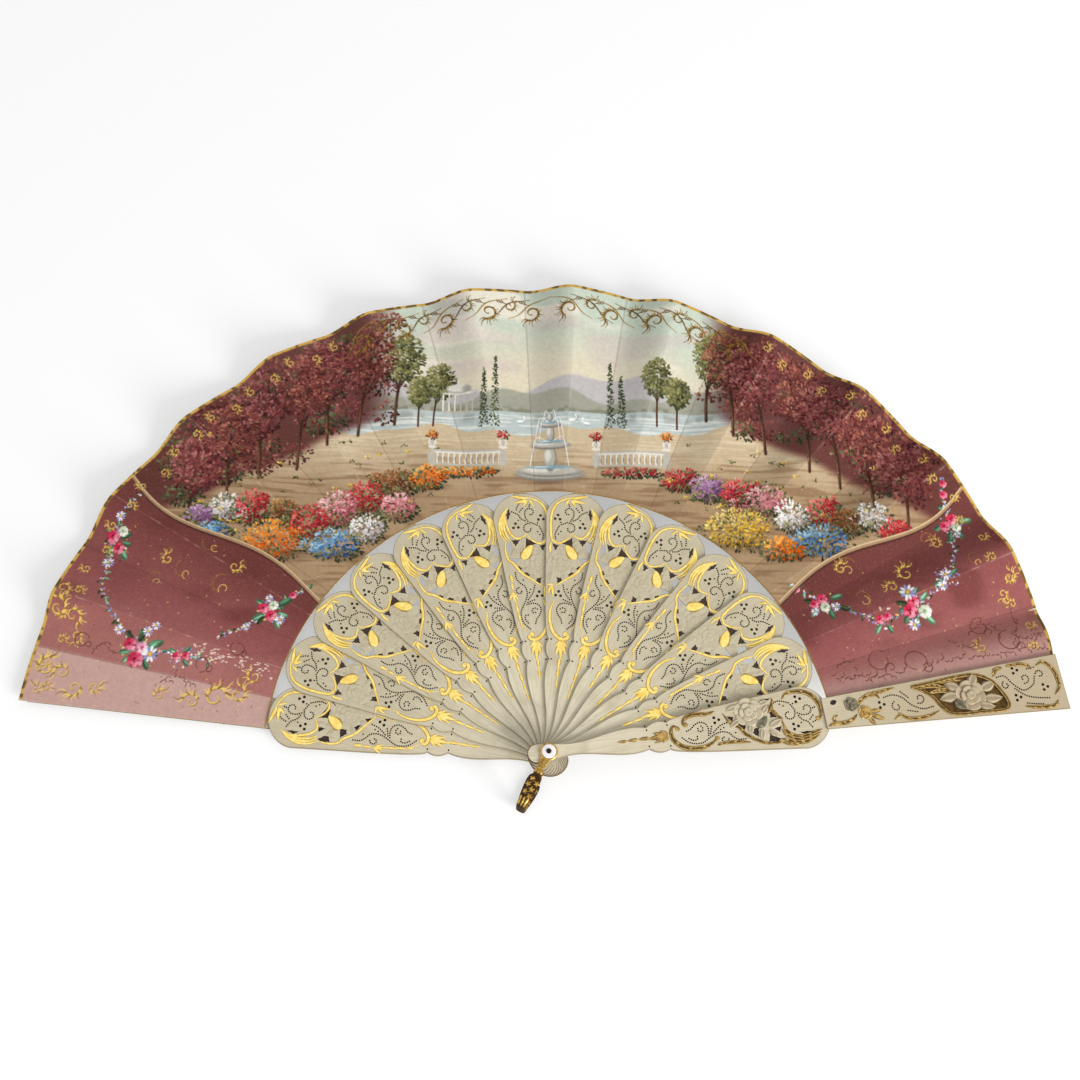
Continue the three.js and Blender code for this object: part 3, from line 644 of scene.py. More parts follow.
def carve_rib(carving, stick):
    radius = np.concatenate(([RIB_START], np.linspace(LEAF_INNER, RIB_END, 16)))
    half_width = np.interp(radius, (LEAF_INNER, LEAF_RADIUS), RIB_HALF_WIDTHS)
    sections = []
    for edge, height in ((-1, 0), (1, 0), (1, RIB_THICKNESS), (-1, RIB_THICKNESS)):
        angle = edge * half_width / radius
        level = RIB_SEAT + height + pleat_lift(stick, radius, angle)
        sections.append(np.column_stack((*turned(radius, angle), level)))
    points = np.stack(sections, axis=1).reshape(-1, 3)
    sides = np.roll(grid_faces(len(radius), 4, closed=True)[:, ::-1], 1, axis=1)
    ends = [(3, 2, 1, 0), range(len(points) - 4, len(points))]
    carving.add(points, [*ends, *sides], RIB_DARKENING)


def shader_values(seen):
    """Colours as they look on the page, in the values that a shader takes."""
    return np.where(seen > 0.04045, ((seen + 0.055) / 1.055) ** 2.4, seen / 12.92)


def linear(*seen):
    return (*shader_values(np.array(seen)).tolist(), 1)


def new_group(name, inputs, outputs):
    """An empty node group, with the labels of its sockets listed under their kinds."""
    group = bpy.data.node_groups.new(name, "ShaderNodeTree")
    for direction, kinds in (("INPUT", inputs), ("OUTPUT", outputs)):
        for kind, labels in kinds.items():
            for label in labels:
                group.interface.new_socket(label, in_out=direction, socket_type=f"NodeSocket{kind}")
    return group, group.nodes.new("NodeGroupInput").outputs, group.nodes.new("NodeGroupOutput")


def mixed(tree, share, first, second):
    """The colour between two others."""
    return add_node(tree, "ShaderNodeMix", {0: share, 6: first, 7: second}, data_type="RGBA").outputs[2]


def multiplied(tree, first, second):
    return add_node(tree, "ShaderNodeMath", {0: first, 1: second}, operation="MULTIPLY").outputs[0]


def noise_at(tree, place, stretch, scale=1.0, detail=3.0):
    """Cloudy values over the piece, drawn out along or across the stick."""
    stretched = add_node(tree, "ShaderNodeVectorMath", {0: place, 1: stretch}, operation="MULTIPLY")
    values = {"Vector": stretched.outputs[0], "Scale": scale, "Detail": detail}
    return add_node(tree, "ShaderNodeTexNoise", values).outputs["Fac"]


def ranged(tree, value, start, end, low=0.0, high=1.0):
    """A value taken from one range to another and kept inside it."""
    values = {"Value": value, "From Min": start, "From Max": end, "To Min": low, "To Max": high}
    return add_node(tree, "ShaderNodeMapRange", values).outputs[0]


# Grain of old bone: long pale streaks, short dark pores and blotches. The stem is paler from handling and
# painted lighter against the shade of the stacked sticks, the shaft is darker with age, and dirt and painted
# shade lie in the hollows of the carving and along the edges, with painted shadow at the rims of the tails.
bone_grain, grain_in, grain_out = new_group(
    "bone_grain",
    {"Color": ("Pale", "Stain", "Dirt", "Handled", "Aged"), "Vector": ("Place",), "Float": ("Shade",)},
    {"Color": ("Colour",), "Float": ("Roughness", "Height")})
streaks = noise_at(bone_grain, grain_in["Place"], (0.06, 1.3, 1.0), detail=4.0)
blotches = noise_at(bone_grain, grain_in["Place"], (1.0, 1.0, 1.0), 0.09)
pores = noise_at(bone_grain, grain_in["Place"], (0.45, 3.6, 1.0), detail=1.0)
along = add_node(bone_grain, "ShaderNodeSeparateXYZ", {0: grain_in["Place"]}).outputs["X"]
# The rims of the tails are painted darker still: painted shadow of each tail on the one below.
tail = ranged(bone_grain, along, -2.0, -6.0)
painted_rim_shade = ranged(bone_grain, grain_in["Shade"], 0.0, 0.8, 0.08, 0.95)
# Handled paints the stem lighter: paler from handling, and painted light against the shade near the rivet.
tone = grain_in["Pale"]
for share, label in (
        (ranged(bone_grain, along, 85.0, 30.0), "Handled"),
        (ranged(bone_grain, along, 135.0, 190.0), "Aged"),
        (ranged(bone_grain, streaks, 0.38, 0.72, 0.0, 0.55), "Stain"),
        (ranged(bone_grain, blotches, 0.5, 0.75, 0.0, 0.5), "Stain"),
        (ranged(bone_grain, pores, 0.66, 0.8, 0.0, 0.45), "Dirt"),
        (ranged(bone_grain, grain_in["Shade"], 0.0, 1.0, 0.0, 0.7), "Dirt"),
        (multiplied(bone_grain, tail, painted_rim_shade), "Dirt")):
    tone = mixed(bone_grain, share, tone, grain_in[label])
feed(bone_grain, grain_out, {
    "Colour": tone,
    "Roughness": ranged(bone_grain, streaks, 0.3, 0.8, 0.62, 0.8),
    "Height": ranged(bone_grain, pores, 0.5, 0.85, 1.0, 0.0),
})


def piece_socket(tree, name, output):
    return add_node(tree, "ShaderNodeAttribute", attribute_name=name).outputs[output]


def add_bump(tree, shader, height, strength, distance):
    values = {"Height": height, "Strength": strength, "Distance": distance}
    feed(tree, shader, {"Normal": add_node(tree, "ShaderNodeBump", values).outputs["Normal"]})


def add_effect(tree, group, **colours):
    """A node group in a material, with its colours as they look and the piece's own place and shade."""
    values = {label: linear(*colour) for label, colour in colours.items()}
    values["Place"] = piece_socket(tree, "place", "Vector")
    values["Shade"] = piece_socket(tree, "shade", "Fac")
    return add_node(tree, "ShaderNodeGroup", values, node_tree=group)


def bone_material(name, pale, stain, darkening, handled_and_lit, aged):
    material, tree, shader = new_material(name)
    bone = add_effect(tree, bone_grain, Pale=pale, Stain=stain, Dirt=darkening, Handled=handled_and_lit, Aged=aged)
    grain = bone.outputs
    feed(tree, shader, {"Base Color": grain["Colour"], "Roughness": grain["Roughness"],
                        "Specular IOR Level": 0.03})
    add_bump(tree, shader, grain["Height"], 0.25, 0.00008)
    return material


stick_bone = bone_material("stick_bone", (0.795, 0.755, 0.65), (0.725, 0.675, 0.56), (0.4, 0.32, 0.21),
                           (0.895, 0.86, 0.76), (0.795, 0.755, 0.65))

# A dark woven floor at the bottom of the blind openings, notches and dots: painted shade in place of the
# shade seen through piercings, and old dirt in the drilled dots
hole_shade_and_dirt, tree, shader = new_material("hole_shade_and_dirt")
weave = noise_at(tree, piece_socket(tree, "place", "Vector"), (6.0, 6.0, 1.0), detail=1.0)
woven = mixed(tree, weave, linear(0.14, 0.09, 0.06), linear(0.29, 0.22, 0.16))
feed(tree, shader, {"Base Color": woven, "Roughness": 0.8})
add_bump(tree, shader, weave, 0.4, 0.0001)


def numbered(name, number):
    return f"{name}_{number:02d}"


for stick in range(1, LAST):
    side = 1 if stick % 2 else -1
    carving = Carving()
    carving.add_copy(inner_blade, side)
    carve_rib(carving, stick)
    name = numbered("stick", stick)
    bone_piece = carving.piece(f"{name}_bone", [stick_bone, hole_shade_and_dirt], stick_angle(stick),
                               stick_level(stick), cut=CUT_SPACING * stick)
    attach(bone_piece, name)
    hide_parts(name)


# The gilding of the inner sticks
# Gold leaf laid on the carved scrolls of each blade: a rim and a feather round the head, a leaf beside the
# rose, a slanting rim under it, a C-scroll and a chain of leaves below, and drops on the stem.

GILD_LIFT = 0.12
GILD_SPACING = 0.7
BARB_LENGTH = 2.6
STICK_OUTLINE_DIRT = 2.1  # how broad the brown edges of the gold are
GILDING_CREASE_DEG = 60


class Gilding(Carving):
    """Gilded ornament on a face: the face's level, the ornament's lift, and how brown its edges are."""

    def __init__(self, level, lift, darkening):
        super().__init__()
        self.level = level
        self.lift = lift
        self.darkening = darkening

    def scroll(self, corners, width, veined=False, full_end=False):
        """A scroll that is widest in its middle and thins to both ends, or to its start alone."""
        line = smooth_line(corners, GILD_SPACING)
        share = np.linspace(0, 0.5 if full_end else 1, len(line))
        widths = width * np.clip(np.sin(math.pi * share), 0.06, 1) ** 0.45
        carve_ribbon(self, line, widths, self.level, self.lift, veined, darkening=self.darkening)

    def volute(self, x, y, radius):
        """The round knob in which a scroll ends."""
        self.scroll(curl(x, y, 0.55 * radius, 0.1 * radius, -100, 460, 16), 1.1 * radius)

    def leaf(self, x, y, length, width, turn_deg, bend, blunt):
        carve_leaf(self, x, y, length, width, turn_deg, self.level, self.lift, bend, veined=False,
                   blunt=blunt, darkening=self.darkening)

    def barbs(self, corners, count, width, turn_deg):
        """Small leaves that spring from a scroll at an angle to it."""
        line = smooth_line(corners, GILD_SPACING)
        heading = np.gradient(line, axis=0)
        for index in np.linspace(0, len(line) - 1, count + 2).astype(int)[1:-1]:
            turn = math.degrees(math.atan2(heading[index, 1], heading[index, 0])) + turn_deg
            self.leaf(*line[index], BARB_LENGTH, width, turn, 0.6, 1.0)

    def leaves(self, leaves):
        for leaf in leaves:
            self.leaf(*leaf, 0.12, 0.8)

    def beads(self, beads, turn_deg):
        """Long beads in a row."""
        for bead in beads:
            self.leaf(*bead, turn_deg, 0.0, 0.7)


HEAD_RIM = [(139.4, 1.6), (138.6, 4.6), (136.4, 9.0), (133.0, 11.7), (129.4, 12.6), (125.3, 12.8),
            (120.7, 12.4), (116.7, 11.7), (113.8, 10.6), (112.6, 7.4), (114.1, 4.3), (116.4, 2.2),
            (118.6, 1.2)]
HEAD_RIM_END = [(113.0, 11.3), (110.0, 11.5), (107.0, 11.0)]
ROSE_RIM = [(114.9, -10.2), (110.0, -10.8), (105.0, -9.8), (102.2, -7.0), (97.1, -3.7), (93.0, 1.3),
            (88.6, 6.8)]
LOW_SCROLL = [(81.0, 6.2), (75.5, 7.6), (70.0, 7.2), (65.0, 5.4), (61.7, 2.6), (60.5, -0.2), (61.2, -2.6),
              (63.0, -3.2)]
VOLUTES = [(63.2, -1.6, 1.9), (136.2, 2.0, 1.4)]
PLUME = [
    [(134.3, -7.4), (130.0, -10.9), (125.0, -12.7), (119.5, -12.5), (114.8, -10.3)],
    [(133.9, -7.6), (129.5, -10.2), (124.5, -11.6), (119.5, -11.2), (115.0, -9.0)],
    [(133.2, -8.1), (128.8, -9.7), (124.0, -10.4), (119.3, -9.7), (115.2, -7.7)],
    [(130.5, -9.1), (126.5, -9.3), (122.6, -8.6), (118.8, -7.0), (116.4, -4.2), (117.2, -1.0),
     (118.6, 1.2)],
]
CHAIN_STEM = [(88.0, -9.1), (82.0, -8.2), (76.0, -7.5), (69.0, -6.2), (64.6, -3.4)]

# Leaves and beads of gold: along, across, length, width, turn in degrees
CREST_LEAVES = [(138.4, 3.6, 9.4, 2.4, -78), (137.6, 3.2, 7.4, 2.4, -102), (137.4, 3.4, 4.4, 2.0, -142),
                (137.8, 4.4, 4.4, 1.8, 150)]
CLUSTER_LEAVES = [(89.4, 8.0, 7.0, 2.2, 186), (89.0, 8.4, 5.0, 2.0, 160), (89.6, 7.8, 3.4, 1.8, 100)]
DROP_LEAVES = [(59.6, 0.0, 10.4, 3.0, 180), (59.4, 0.3, 7.6, 2.4, 163), (59.4, -0.3, 7.6, 2.4, -163),
               (59.8, 0.4, 4.6, 2.0, 142), (59.8, -0.4, 4.6, 2.0, -142)]
DROP_BEADS = [(50.4, 0.0, 5.8, 2.0), (44.9, 0.0, 5.8, 1.9), (39.4, 0.0, 5.4, 1.6), (34.2, 0.0, 4.6, 1.3)]
CHAIN_BEADS = [(96.6, -9.4, 4.4, 2.3), (92.0, -9.3, 4.0, 1.8), (79.4, -7.9, 3.4, 1.9),
               (74.6, -7.2, 3.4, 1.9), (70.4, -6.5, 3.0, 1.7)]
CHAIN_LEAVES = [(87.6, -9.1, 6.2, 2.1, 176), (86.4, -8.8, 4.6, 1.7, 150), (86.6, -9.3, 4.6, 1.7, 205)]
BROAD_LEAF = (104.6, -2.4, 9.2, 6.4, 38)
SCROLL_WIDTHS = [(HEAD_RIM, 1.9), (HEAD_RIM_END, 1.9), (ROSE_RIM, 1.8), (CHAIN_STEM, 1.1)]
LOW_SCROLL_WIDTH = 2.5
STRAND_WIDTH = 1.8


def carve_stick_gilding(beads):
    gilding = Gilding(STICK_THICKNESS, GILD_LIFT, STICK_OUTLINE_DIRT)
    for corners, width in SCROLL_WIDTHS:
        gilding.scroll(corners, width)
    gilding.scroll(LOW_SCROLL, LOW_SCROLL_WIDTH, full_end=True)
    gilding.barbs(LOW_SCROLL[:5], 6, 1.2, 160)
    for volute in VOLUTES:
        gilding.volute(*volute)
    for strand in PLUME:
        gilding.scroll(strand, STRAND_WIDTH)
    carve_leaf(gilding, *BROAD_LEAF, gilding.level + 0.04, 0.2, veined=False, blunt=0.55,
               darkening=0.8 * gilding.darkening)
    for leaves in (CREST_LEAVES, CLUSTER_LEAVES, CHAIN_LEAVES):
        gilding.leaves(leaves)
    gilding.beads(CHAIN_BEADS, 174)
    gilding.leaves(DROP_LEAVES)
    gilding.beads(DROP_BEADS[:beads], 180)
    return gilding


# Gold leaf: brightest on the crown of a scroll, brown along its edges, and rubbed through here and there
gold_leaf, gold_in, gold_out = new_group(
    "gold_leaf",
    {"Color": ("Bright", "Deep", "Outline", "Ground"), "Vector": ("Place",), "Float": ("Shade", "Rubbed")},
    {"Color": ("Colour",), "Float": ("Metal", "Roughness", "Height")})
lay = noise_at(gold_leaf, gold_in["Place"], (0.55, 0.55, 0.55))
rub = noise_at(gold_leaf, gold_in["Place"], (0.9, 0.9, 0.9), detail=2.0)
laid = mixed(gold_leaf, ranged(gold_leaf, lay, 0.35, 0.68), gold_in["Bright"], gold_in["Deep"])
edge = ranged(gold_leaf, gold_in["Shade"], 0.45, 1.0, 0.0, 0.85)
outlined = mixed(gold_leaf, edge, laid, gold_in["Outline"])
bare = multiplied(gold_leaf, ranged(gold_leaf, rub, 0.66, 0.74), gold_in["Rubbed"])
feed(gold_leaf, gold_out, {
    "Colour": mixed(gold_leaf, bare, outlined, gold_in["Ground"]),
    "Metal": ranged(gold_leaf, bare, 0.0, 1.0, 0.85, 0.0),
    "Roughness": ranged(gold_leaf, lay, 0.3, 0.7, 0.46, 0.64),
    "Height": lay,
})


def gold_material(name, bright, deep, outline, ground, rubbed):
    material, tree, shader = new_material(name)
    leaf = add_effect(tree, gold_leaf, Bright=bright, Deep=deep, Outline=outline, Ground=ground)
    feed(tree, leaf, {"Rubbed": rubbed})
    gold = leaf.outputs
    feed(tree, shader, {"Base Color": gold["Colour"], "Metallic": gold["Metal"],
                        "Roughness": gold["Roughness"]})
    add_bump(tree, shader, gold["Height"], 0.3, 0.0001)
    return material


bright_gold = gold_material("bright_gold", (1.0, 0.92, 0.57), (0.93, 0.79, 0.39), (0.5, 0.37, 0.13),
                            (0.84, 0.8, 0.68), 0.6)
stick_gildings = {beads: carve_stick_gilding(beads) for beads in (2, 3, 4)}
for stick in range(1, LAST):
    side = 1 if stick % 2 else -1
    carving = Carving()
    carving.add_copy(stick_gildings[2 + stick % 3], side)
    name = numbered("stick", stick)
    gilding = carving.piece(f"{name}_gilding", [bright_gold], stick_angle(stick), stick_level(stick),
                            GILDING_CREASE_DEG, CUT_SPACING * stick)
    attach(gilding, name)


# The guards
# Two thicker sticks of bone that close over the leaf. Each has the blade of an inner stick and a straight
# shaft, carved in high relief with roses, drilled with dotted vines, and gilded in a darker gold.

GUARD_THICKNESS = 2.0
SHAFT_THICKNESS = 1.6
SHAFT_ROOT = (138.7, 7.8)
SHAFT_TIP = (262.5, 14.3)
FRONT_SHAFT_LEVEL = 1.2
BACK_SHAFT_LEVEL = -0.8
BACK_GUARD_LEVEL = 2.75
FRONT_GUARD_LEVEL = 17.05
GUARD_RELIEF = 1.1
GUARD_GILD_LIFT = 0.25
SHAFT_GROUND_DEPTH = 0.6
GUARD_OUTLINE_DIRT = 2.2  # the old gold on the guards has broad brown edges
GUARD_OPENINGS = [
    [(108.5, 11.6), (114.4, 11.9), (109.6, 8.5)],
    [(112.9, 9.2), (117.2, 1.1), (111.6, 1.7), (111.4, 6.3)],
    [(89.2, 5.9), (93.7, 4.8), (92.6, 2.2)],
    [(94.4, 1.6), (99.6, 0.4), (97.5, -3.5)],
    [(101.4, -2.2), (105.4, -2.0), (104.2, -7.3), (101.0, -4.5)],
    [(109.9, -5.5), (115.4, -9.3), (113.4, -11.0), (108.5, -10.0)],
    [(111.9, -3.3), (116.7, -3.0), (115.2, -6.0)],
    [(124.3, -7.0), (132.5, -7.3), (127.4, -9.0)],
]
GUARD_ROSE = (101.2, 6.2)
GUARD_LEAVES = [
    (110.4, -2.4, 8.0, 4.2, 14), (97.4, 9.2, 7.6, 4.0, 180), (101.4, -0.2, 5.4, 3.2, 255),
    (107.0, -3.6, 5.6, 3.4, 248), (110.0, -4.4, 6.0, 2.6, -48), (107.2, 9.4, 5.4, 3.2, 5),
    (95.6, 2.6, 5.6, 3.2, 205), (108.4, 4.6, 5.4, 3.2, 40),
]
GUARD_ROSE_SIZE = 7.6
GUARD_ROSE_DIRT_AND_SHADE = 0.8
GUARD_HOLE_DEPTH = 0.7
SHAFT_ROSE = (214.0, -0.8)
SHAFT_ROSE_SIZE = 8.2
SHAFT_FRAME = [(185.1, 7.4), (190.6, 4.6), (194.8, 0.8), (197.8, -4.3), (201.0, -8.0), (206.5, -9.6),
               (218.4, -10.0), (229.4, -10.4), (232.4, -7.2), (229.8, -0.1), (226.1, 5.2), (219.4, 9.0),
               (210.8, 9.6), (197.3, 8.4)]
SHAFT_FRAME_WIDTH = 1.9
SHAFT_MARK = (144.4, 5.0, 3.8, 2.6, 20)  # a deep oval hole by the shaft's root
SHAFT_BERRIES = [(168.1, 0.5), (239.2, 8.6), (252.6, -1.8), (237.6, -5.3)]
SHAFT_VINES = [
    [(170.2, 4.0), (174.6, 4.7), (179.2, 2.8), (183.2, -1.6), (188.4, -4.3), (193.8, -3.9)],
    [(179.1, 5.8), (182.3, 2.4)],
    curl(188.0, 1.1, 2.7, 1.0, -120, 300),
    curl(175.7, -1.4, 2.7, 1.0, 110, 290),
    [(180.8, -4.2), (185.4, -5.4)],
    [(229.4, 6.3), (233.5, 6.4), (236.6, 2.1), (241.4, -2.0), (246.9, 0.2), (248.6, 4.2)],
    [(237.2, -0.6), (241.6, -4.6), (247.0, -6.6), (253.4, -7.6)],
    curl(243.3, 3.9, 2.6, 1.0, -100, 300),
    curl(233.1, 1.7, 2.1, 0.9, 120, 280),
    curl(251.6, 5.0, 2.4, 1.0, 190, -290),
    [(245.8, 8.6), (249.4, 9.0)],
    [(241.6, -8.8), (245.6, -9.6), (249.4, -10.2)],
]
SHAFT_LEAVES = [
    (207.6, 0.0, 9.6, 6.0, 176), (209.0, 3.4, 7.8, 5.2, 146), (215.2, 4.4, 7.6, 5.2, 52),
    (220.0, 1.8, 9.0, 5.6, 10), (220.6, -3.0, 9.8, 5.4, -14), (217.6, -6.0, 8.2, 4.8, -24),
]
shaft_frame = smooth_line(SHAFT_FRAME + SHAFT_FRAME[:1], 0.9)


def shaft_holes():
    root, tip = np.array(SHAFT_ROOT), np.array(SHAFT_TIP)
    outline = np.array([root * (1, -1), tip * (1, -1), tip, root])
    ground = shaft_frame[:-1]
    blind = [pointed_oval(*SHAFT_MARK)]
    for bunch in SHAFT_BERRIES:
        blind.extend(berry_bunch(*bunch))
    return outline, blind + drilled_dots(SHAFT_VINES, [outline, ground] + blind), [ground]


def carve_guard(shaft_level):
    carving = Carving()
    carve_plate(carving, *blade_holes(GUARD_OPENINGS, []), GUARD_THICKNESS, depth=GUARD_HOLE_DEPTH)
    outline, blind, grounds = shaft_holes()
    carve_plate(carving, outline, [], blind, SHAFT_THICKNESS, shaft_level, SHAFT_GROUND_DEPTH, grounds)
    return carving


def carve_guard_relief(shaft_top):
    """The roses and leaves on a guard's outer face, from the blade's face up."""
    carving = Carving()
    carve_rose_spray(carving, GUARD_ROSE, GUARD_LEAVES, GUARD_ROSE_SIZE, 0.0, GUARD_RELIEF, GUARD_ROSE_DIRT_AND_SHADE)
    carve_rose_spray(carving, SHAFT_ROSE, SHAFT_LEAVES, SHAFT_ROSE_SIZE, shaft_top - SHAFT_GROUND_DEPTH,
                     SHAFT_GROUND_DEPTH + GUARD_RELIEF, GUARD_ROSE_DIRT_AND_SHADE)
    return carving


# The gold scrolls, each with its width
GUARD_SCROLLS = [
    (2.2, [(65.2, 2.4), (63.2, 4.2), (61.4, 2.0), (61.9, -2.6), (66.6, -7.0), (74.0, -8.4), (80.1, -7.1),
           (84.0, -4.4)]),
    (2.0, [(84.4, 8.9), (80.4, 8.0), (74.7, 8.7), (69.3, 7.4), (67.8, 4.9), (68.8, 3.2)]),
    (1.5, [(83.1, -8.2), (88.3, -7.6), (94.1, -8.0), (99.7, -9.0)]),
    (1.6, [(88.4, 7.2), (91.0, 2.4), (95.5, -1.0), (98.5, -5.1), (106.5, -10.1), (115.2, -11.3)]),
    (2.1, [(119.2, 10.2), (121.0, 12.4), (124.6, 13.4), (130.0, 12.8), (134.6, 10.0), (137.2, 5.0),
           (137.2, 0.4), (135.8, -2.4), (134.4, -1.8)]),
    (1.4, [(114.4, 11.4), (113.4, 5.8), (116.6, 0.8), (117.8, -3.9)]),
    (1.9, [(117.1, -0.3), (118.7, -6.2), (125.1, -9.6), (136.3, -7.3)]),
    (1.9, [(116.2, -4.5), (118.3, -8.0), (124.8, -10.9), (135.3, -8.8)]),
    (1.9, [(115.2, -9.3), (121.1, -11.6), (128.1, -12.2), (134.4, -9.8)]),
    (1.3, [(113.6, -10.6), (120.0, -12.8), (126.0, -13.2)]),
]
SHAFT_SCROLLS = [
    (1.9, [(145.2, -1.6), (143.0, -3.0), (143.6, -5.2), (147.4, -6.0), (152.0, -5.0), (155.0, -2.6)]),
    (1.5, [(145.0, -5.6), (142.0, -6.0), (139.6, -6.4)]),
    (1.9, [(156.2, 0.8), (158.2, 4.0), (162.6, 6.2), (166.4, 5.8), (168.0, 3.8)]),
    (1.6, [(161.6, 6.6), (169.6, 7.2), (176.4, 8.2)]),
    (1.8, [(173.0, -7.8), (176.6, -6.0), (180.0, -8.0), (186.0, -8.8), (192.4, -8.0), (196.4, -6.4)]),
    (1.9, [(228.6, 7.6), (229.8, 10.2), (233.4, 11.0)]),
    (1.8, [(235.4, 11.2), (242.6, 11.5), (247.2, 9.8), (248.0, 8.0)]),
    (2.0, [(250.8, 9.8), (254.8, 10.9), (258.6, 7.4), (260.0, 1.6), (259.6, -2.8), (256.6, -6.4)]),
    (1.9, [(257.6, -9.2), (255.6, -11.4), (252.0, -12.0), (246.0, -11.4), (240.0, -10.2)]),
    (2.2, [(189.6, 6.4), (196.0, 6.6), (203.0, 4.2)]),
    (1.9, [(194.4, 3.0), (199.0, 3.6), (203.4, 2.0)]),
    (1.6, [(199.0, 7.6), (206.0, 8.2), (211.0, 7.4)]),
]
SCROLL_FULLNESS = 1.25
GUARD_VOLUTES = [(64.6, 2.6), (69.0, 4.0), (135.0, -1.8), (83.4, -4.8)]
GUARD_VOLUTE_RADIUS = 1.6
SILVER_LEAF = (104.1, -1.9, 7.8, 5.0, 34)
BLADE_GOLD_LEAF = (110.4, 4.6, 5.2, 3.2, 50)
SHAFT_SILVER_LEAF = (205.4, -2.8, 7.2, 4.4, -42)
SHAFT_GOLD_LEAVES = [(161.6, -3.6, 8.0, 2.8, -28), (161.8, -2.0, 6.4, 2.4, -4), (160.4, -4.8, 5.4, 2.4, -60)]
SMALL_ROSES = [(153.1, 2.8, 3.7, 1), (159.2, -2.2, 3.6, 0)]  # the first is silver, the second gold


def carve_guard_gilding(shaft_top):
    gilding = Gilding(0.0, GUARD_GILD_LIFT, GUARD_OUTLINE_DIRT)
    for scrolls, level in ((GUARD_SCROLLS, 0.0), (SHAFT_SCROLLS, shaft_top)):
        gilding.level = level
        for width, corners in scrolls:
            gilding.scroll(corners, SCROLL_FULLNESS * width, veined=True)
            gilding.barbs(corners, 4, 1.3, 150)
    gilding.level = 0.0
    for x, y in GUARD_VOLUTES:
        gilding.volute(x, y, GUARD_VOLUTE_RADIUS)
    carve_leaf(gilding, *SILVER_LEAF, 0.05, 0.5, 0.12, 1, False, 0.8)
    carve_leaf(gilding, *BLADE_GOLD_LEAF, 0.05, 0.4, darkening=gilding.darkening)
    gilding.leaves(DROP_LEAVES)
    gilding.beads(DROP_BEADS[:3], 180)
    gilding.level = shaft_top
    frame_widths = np.full(len(shaft_frame), SHAFT_FRAME_WIDTH)
    carve_ribbon(gilding, shaft_frame, frame_widths, shaft_top, gilding.lift, True, darkening=gilding.darkening)
    carve_leaf(gilding, *SHAFT_SILVER_LEAF, shaft_top, 0.7, finish=1, blunt=0.7)
    for x, y, radius, finish in SMALL_ROSES:
        carve_rose(gilding, x, y, radius, 0.8, shaft_top, finish=finish)
    gilding.leaves(SHAFT_GOLD_LEAVES)
    return gilding


guard_bone = bone_material("guard_bone", (0.81, 0.765, 0.66), (0.73, 0.67, 0.555), (0.4, 0.31, 0.2),
                           (0.88, 0.84, 0.74), (0.735, 0.67, 0.555))
antique_gold = gold_material("antique_gold", (0.81, 0.68, 0.41), (0.53, 0.41, 0.22), (0.24, 0.165, 0.085),
                             (0.8, 0.75, 0.62), 0.4)
dark_silver = gold_material("dark_silver", (0.56, 0.53, 0.45), (0.36, 0.33, 0.26), (0.17, 0.13, 0.09),
                            (0.7, 0.65, 0.52), 0.4)
gilded_ground = gold_material("gilded_ground", (0.42, 0.31, 0.16), (0.25, 0.17, 0.09), (0.2, 0.13, 0.06),
                              (0.25, 0.17, 0.09), 1.0)

# How far a shaft's outer face stands above its blade's
shaft_rise = SHAFT_THICKNESS + FRONT_SHAFT_LEVEL - GUARD_THICKNESS
for stick, name, base, shaft_level in ((LAST, "front_guard", FRONT_GUARD_LEVEL, FRONT_SHAFT_LEVEL),
                                       (0, "back_guard", BACK_GUARD_LEVEL, BACK_SHAFT_LEVEL)):
    front = stick == LAST
    face = GUARD_THICKNESS if front else 0.0
    bone = Carving()
    bone.add_copy(carve_guard(shaft_level), 1 if front else -1)
    bone.add_copy(carve_guard_relief(shaft_rise), lift=face, over=not front)
    finishes = [guard_bone, hole_shade_and_dirt, gilded_ground]
    bone_piece = bone.piece(f"{name}_bone", finishes, stick_angle(stick), base)
    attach(bone_piece, name)
    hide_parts(name)
    gilding = Carving()
    gilding.add_copy(carve_guard_gilding(shaft_rise), lift=face, over=not front)
    outer = gilding.piece(f"{name}_gilding", [antique_gold, dark_silver], stick_angle(stick), base,
                          GILDING_CREASE_DEG)
    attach(outer, name)

# The back guard's inner face is gilded like the inner sticks, and shows to the left of the first stick
inner_face = Carving()
carve_rose_spray(inner_face, ROSE, ROSE_LEAVES, ROSE_SIZE, GUARD_THICKNESS, STICK_RELIEF, ROSE_DIRT_AND_SHADE)
mirrored = Carving()
mirrored.add_copy(inner_face, -1)
inner_rose = mirrored.piece("back_guard_inner_rose", [stick_bone], stick_angle(0), BACK_GUARD_LEVEL)
gilding = Carving()
gilding.add_copy(stick_gildings[3], -1, GUARD_THICKNESS - STICK_THICKNESS)
inner_gilding = gilding.piece("back_guard_inner_gilding", [bright_gold], stick_angle(0), BACK_GUARD_LEVEL,
                              GILDING_CREASE_DEG)
for piece, slot in ((inner_rose, "bone"), (inner_gilding, "gilt_brass")):
    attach(piece, "back_guard")


# The leaf
# One sheet of paper, painted on its front, edged with gold and pleated into 27 panels. Every other panel is
# glued to a stick's rib; the ones between are attached to no stick, and bent so that in the closed fan they
# would fold over between the two panels they join.

LEAF_ROWS = 320
PANEL_COLUMNS = 72
UNDER_COLUMNS = 8
STRIP_COUNT = 2 * STICK_COUNT - 1
FIRST_EDGE = math.pi / 2 - STRIP_COUNT * PANEL_ANGLE / 2
PAPER_THICKNESS = 0.2
PAPER_CREASE_DEG = 40
PLAIN_TONE = 0.8
LEAF_SEAT = 0.45
BACK_PANEL_LEVEL = 3.6
FRONT_PANEL_LEVEL = 18.0

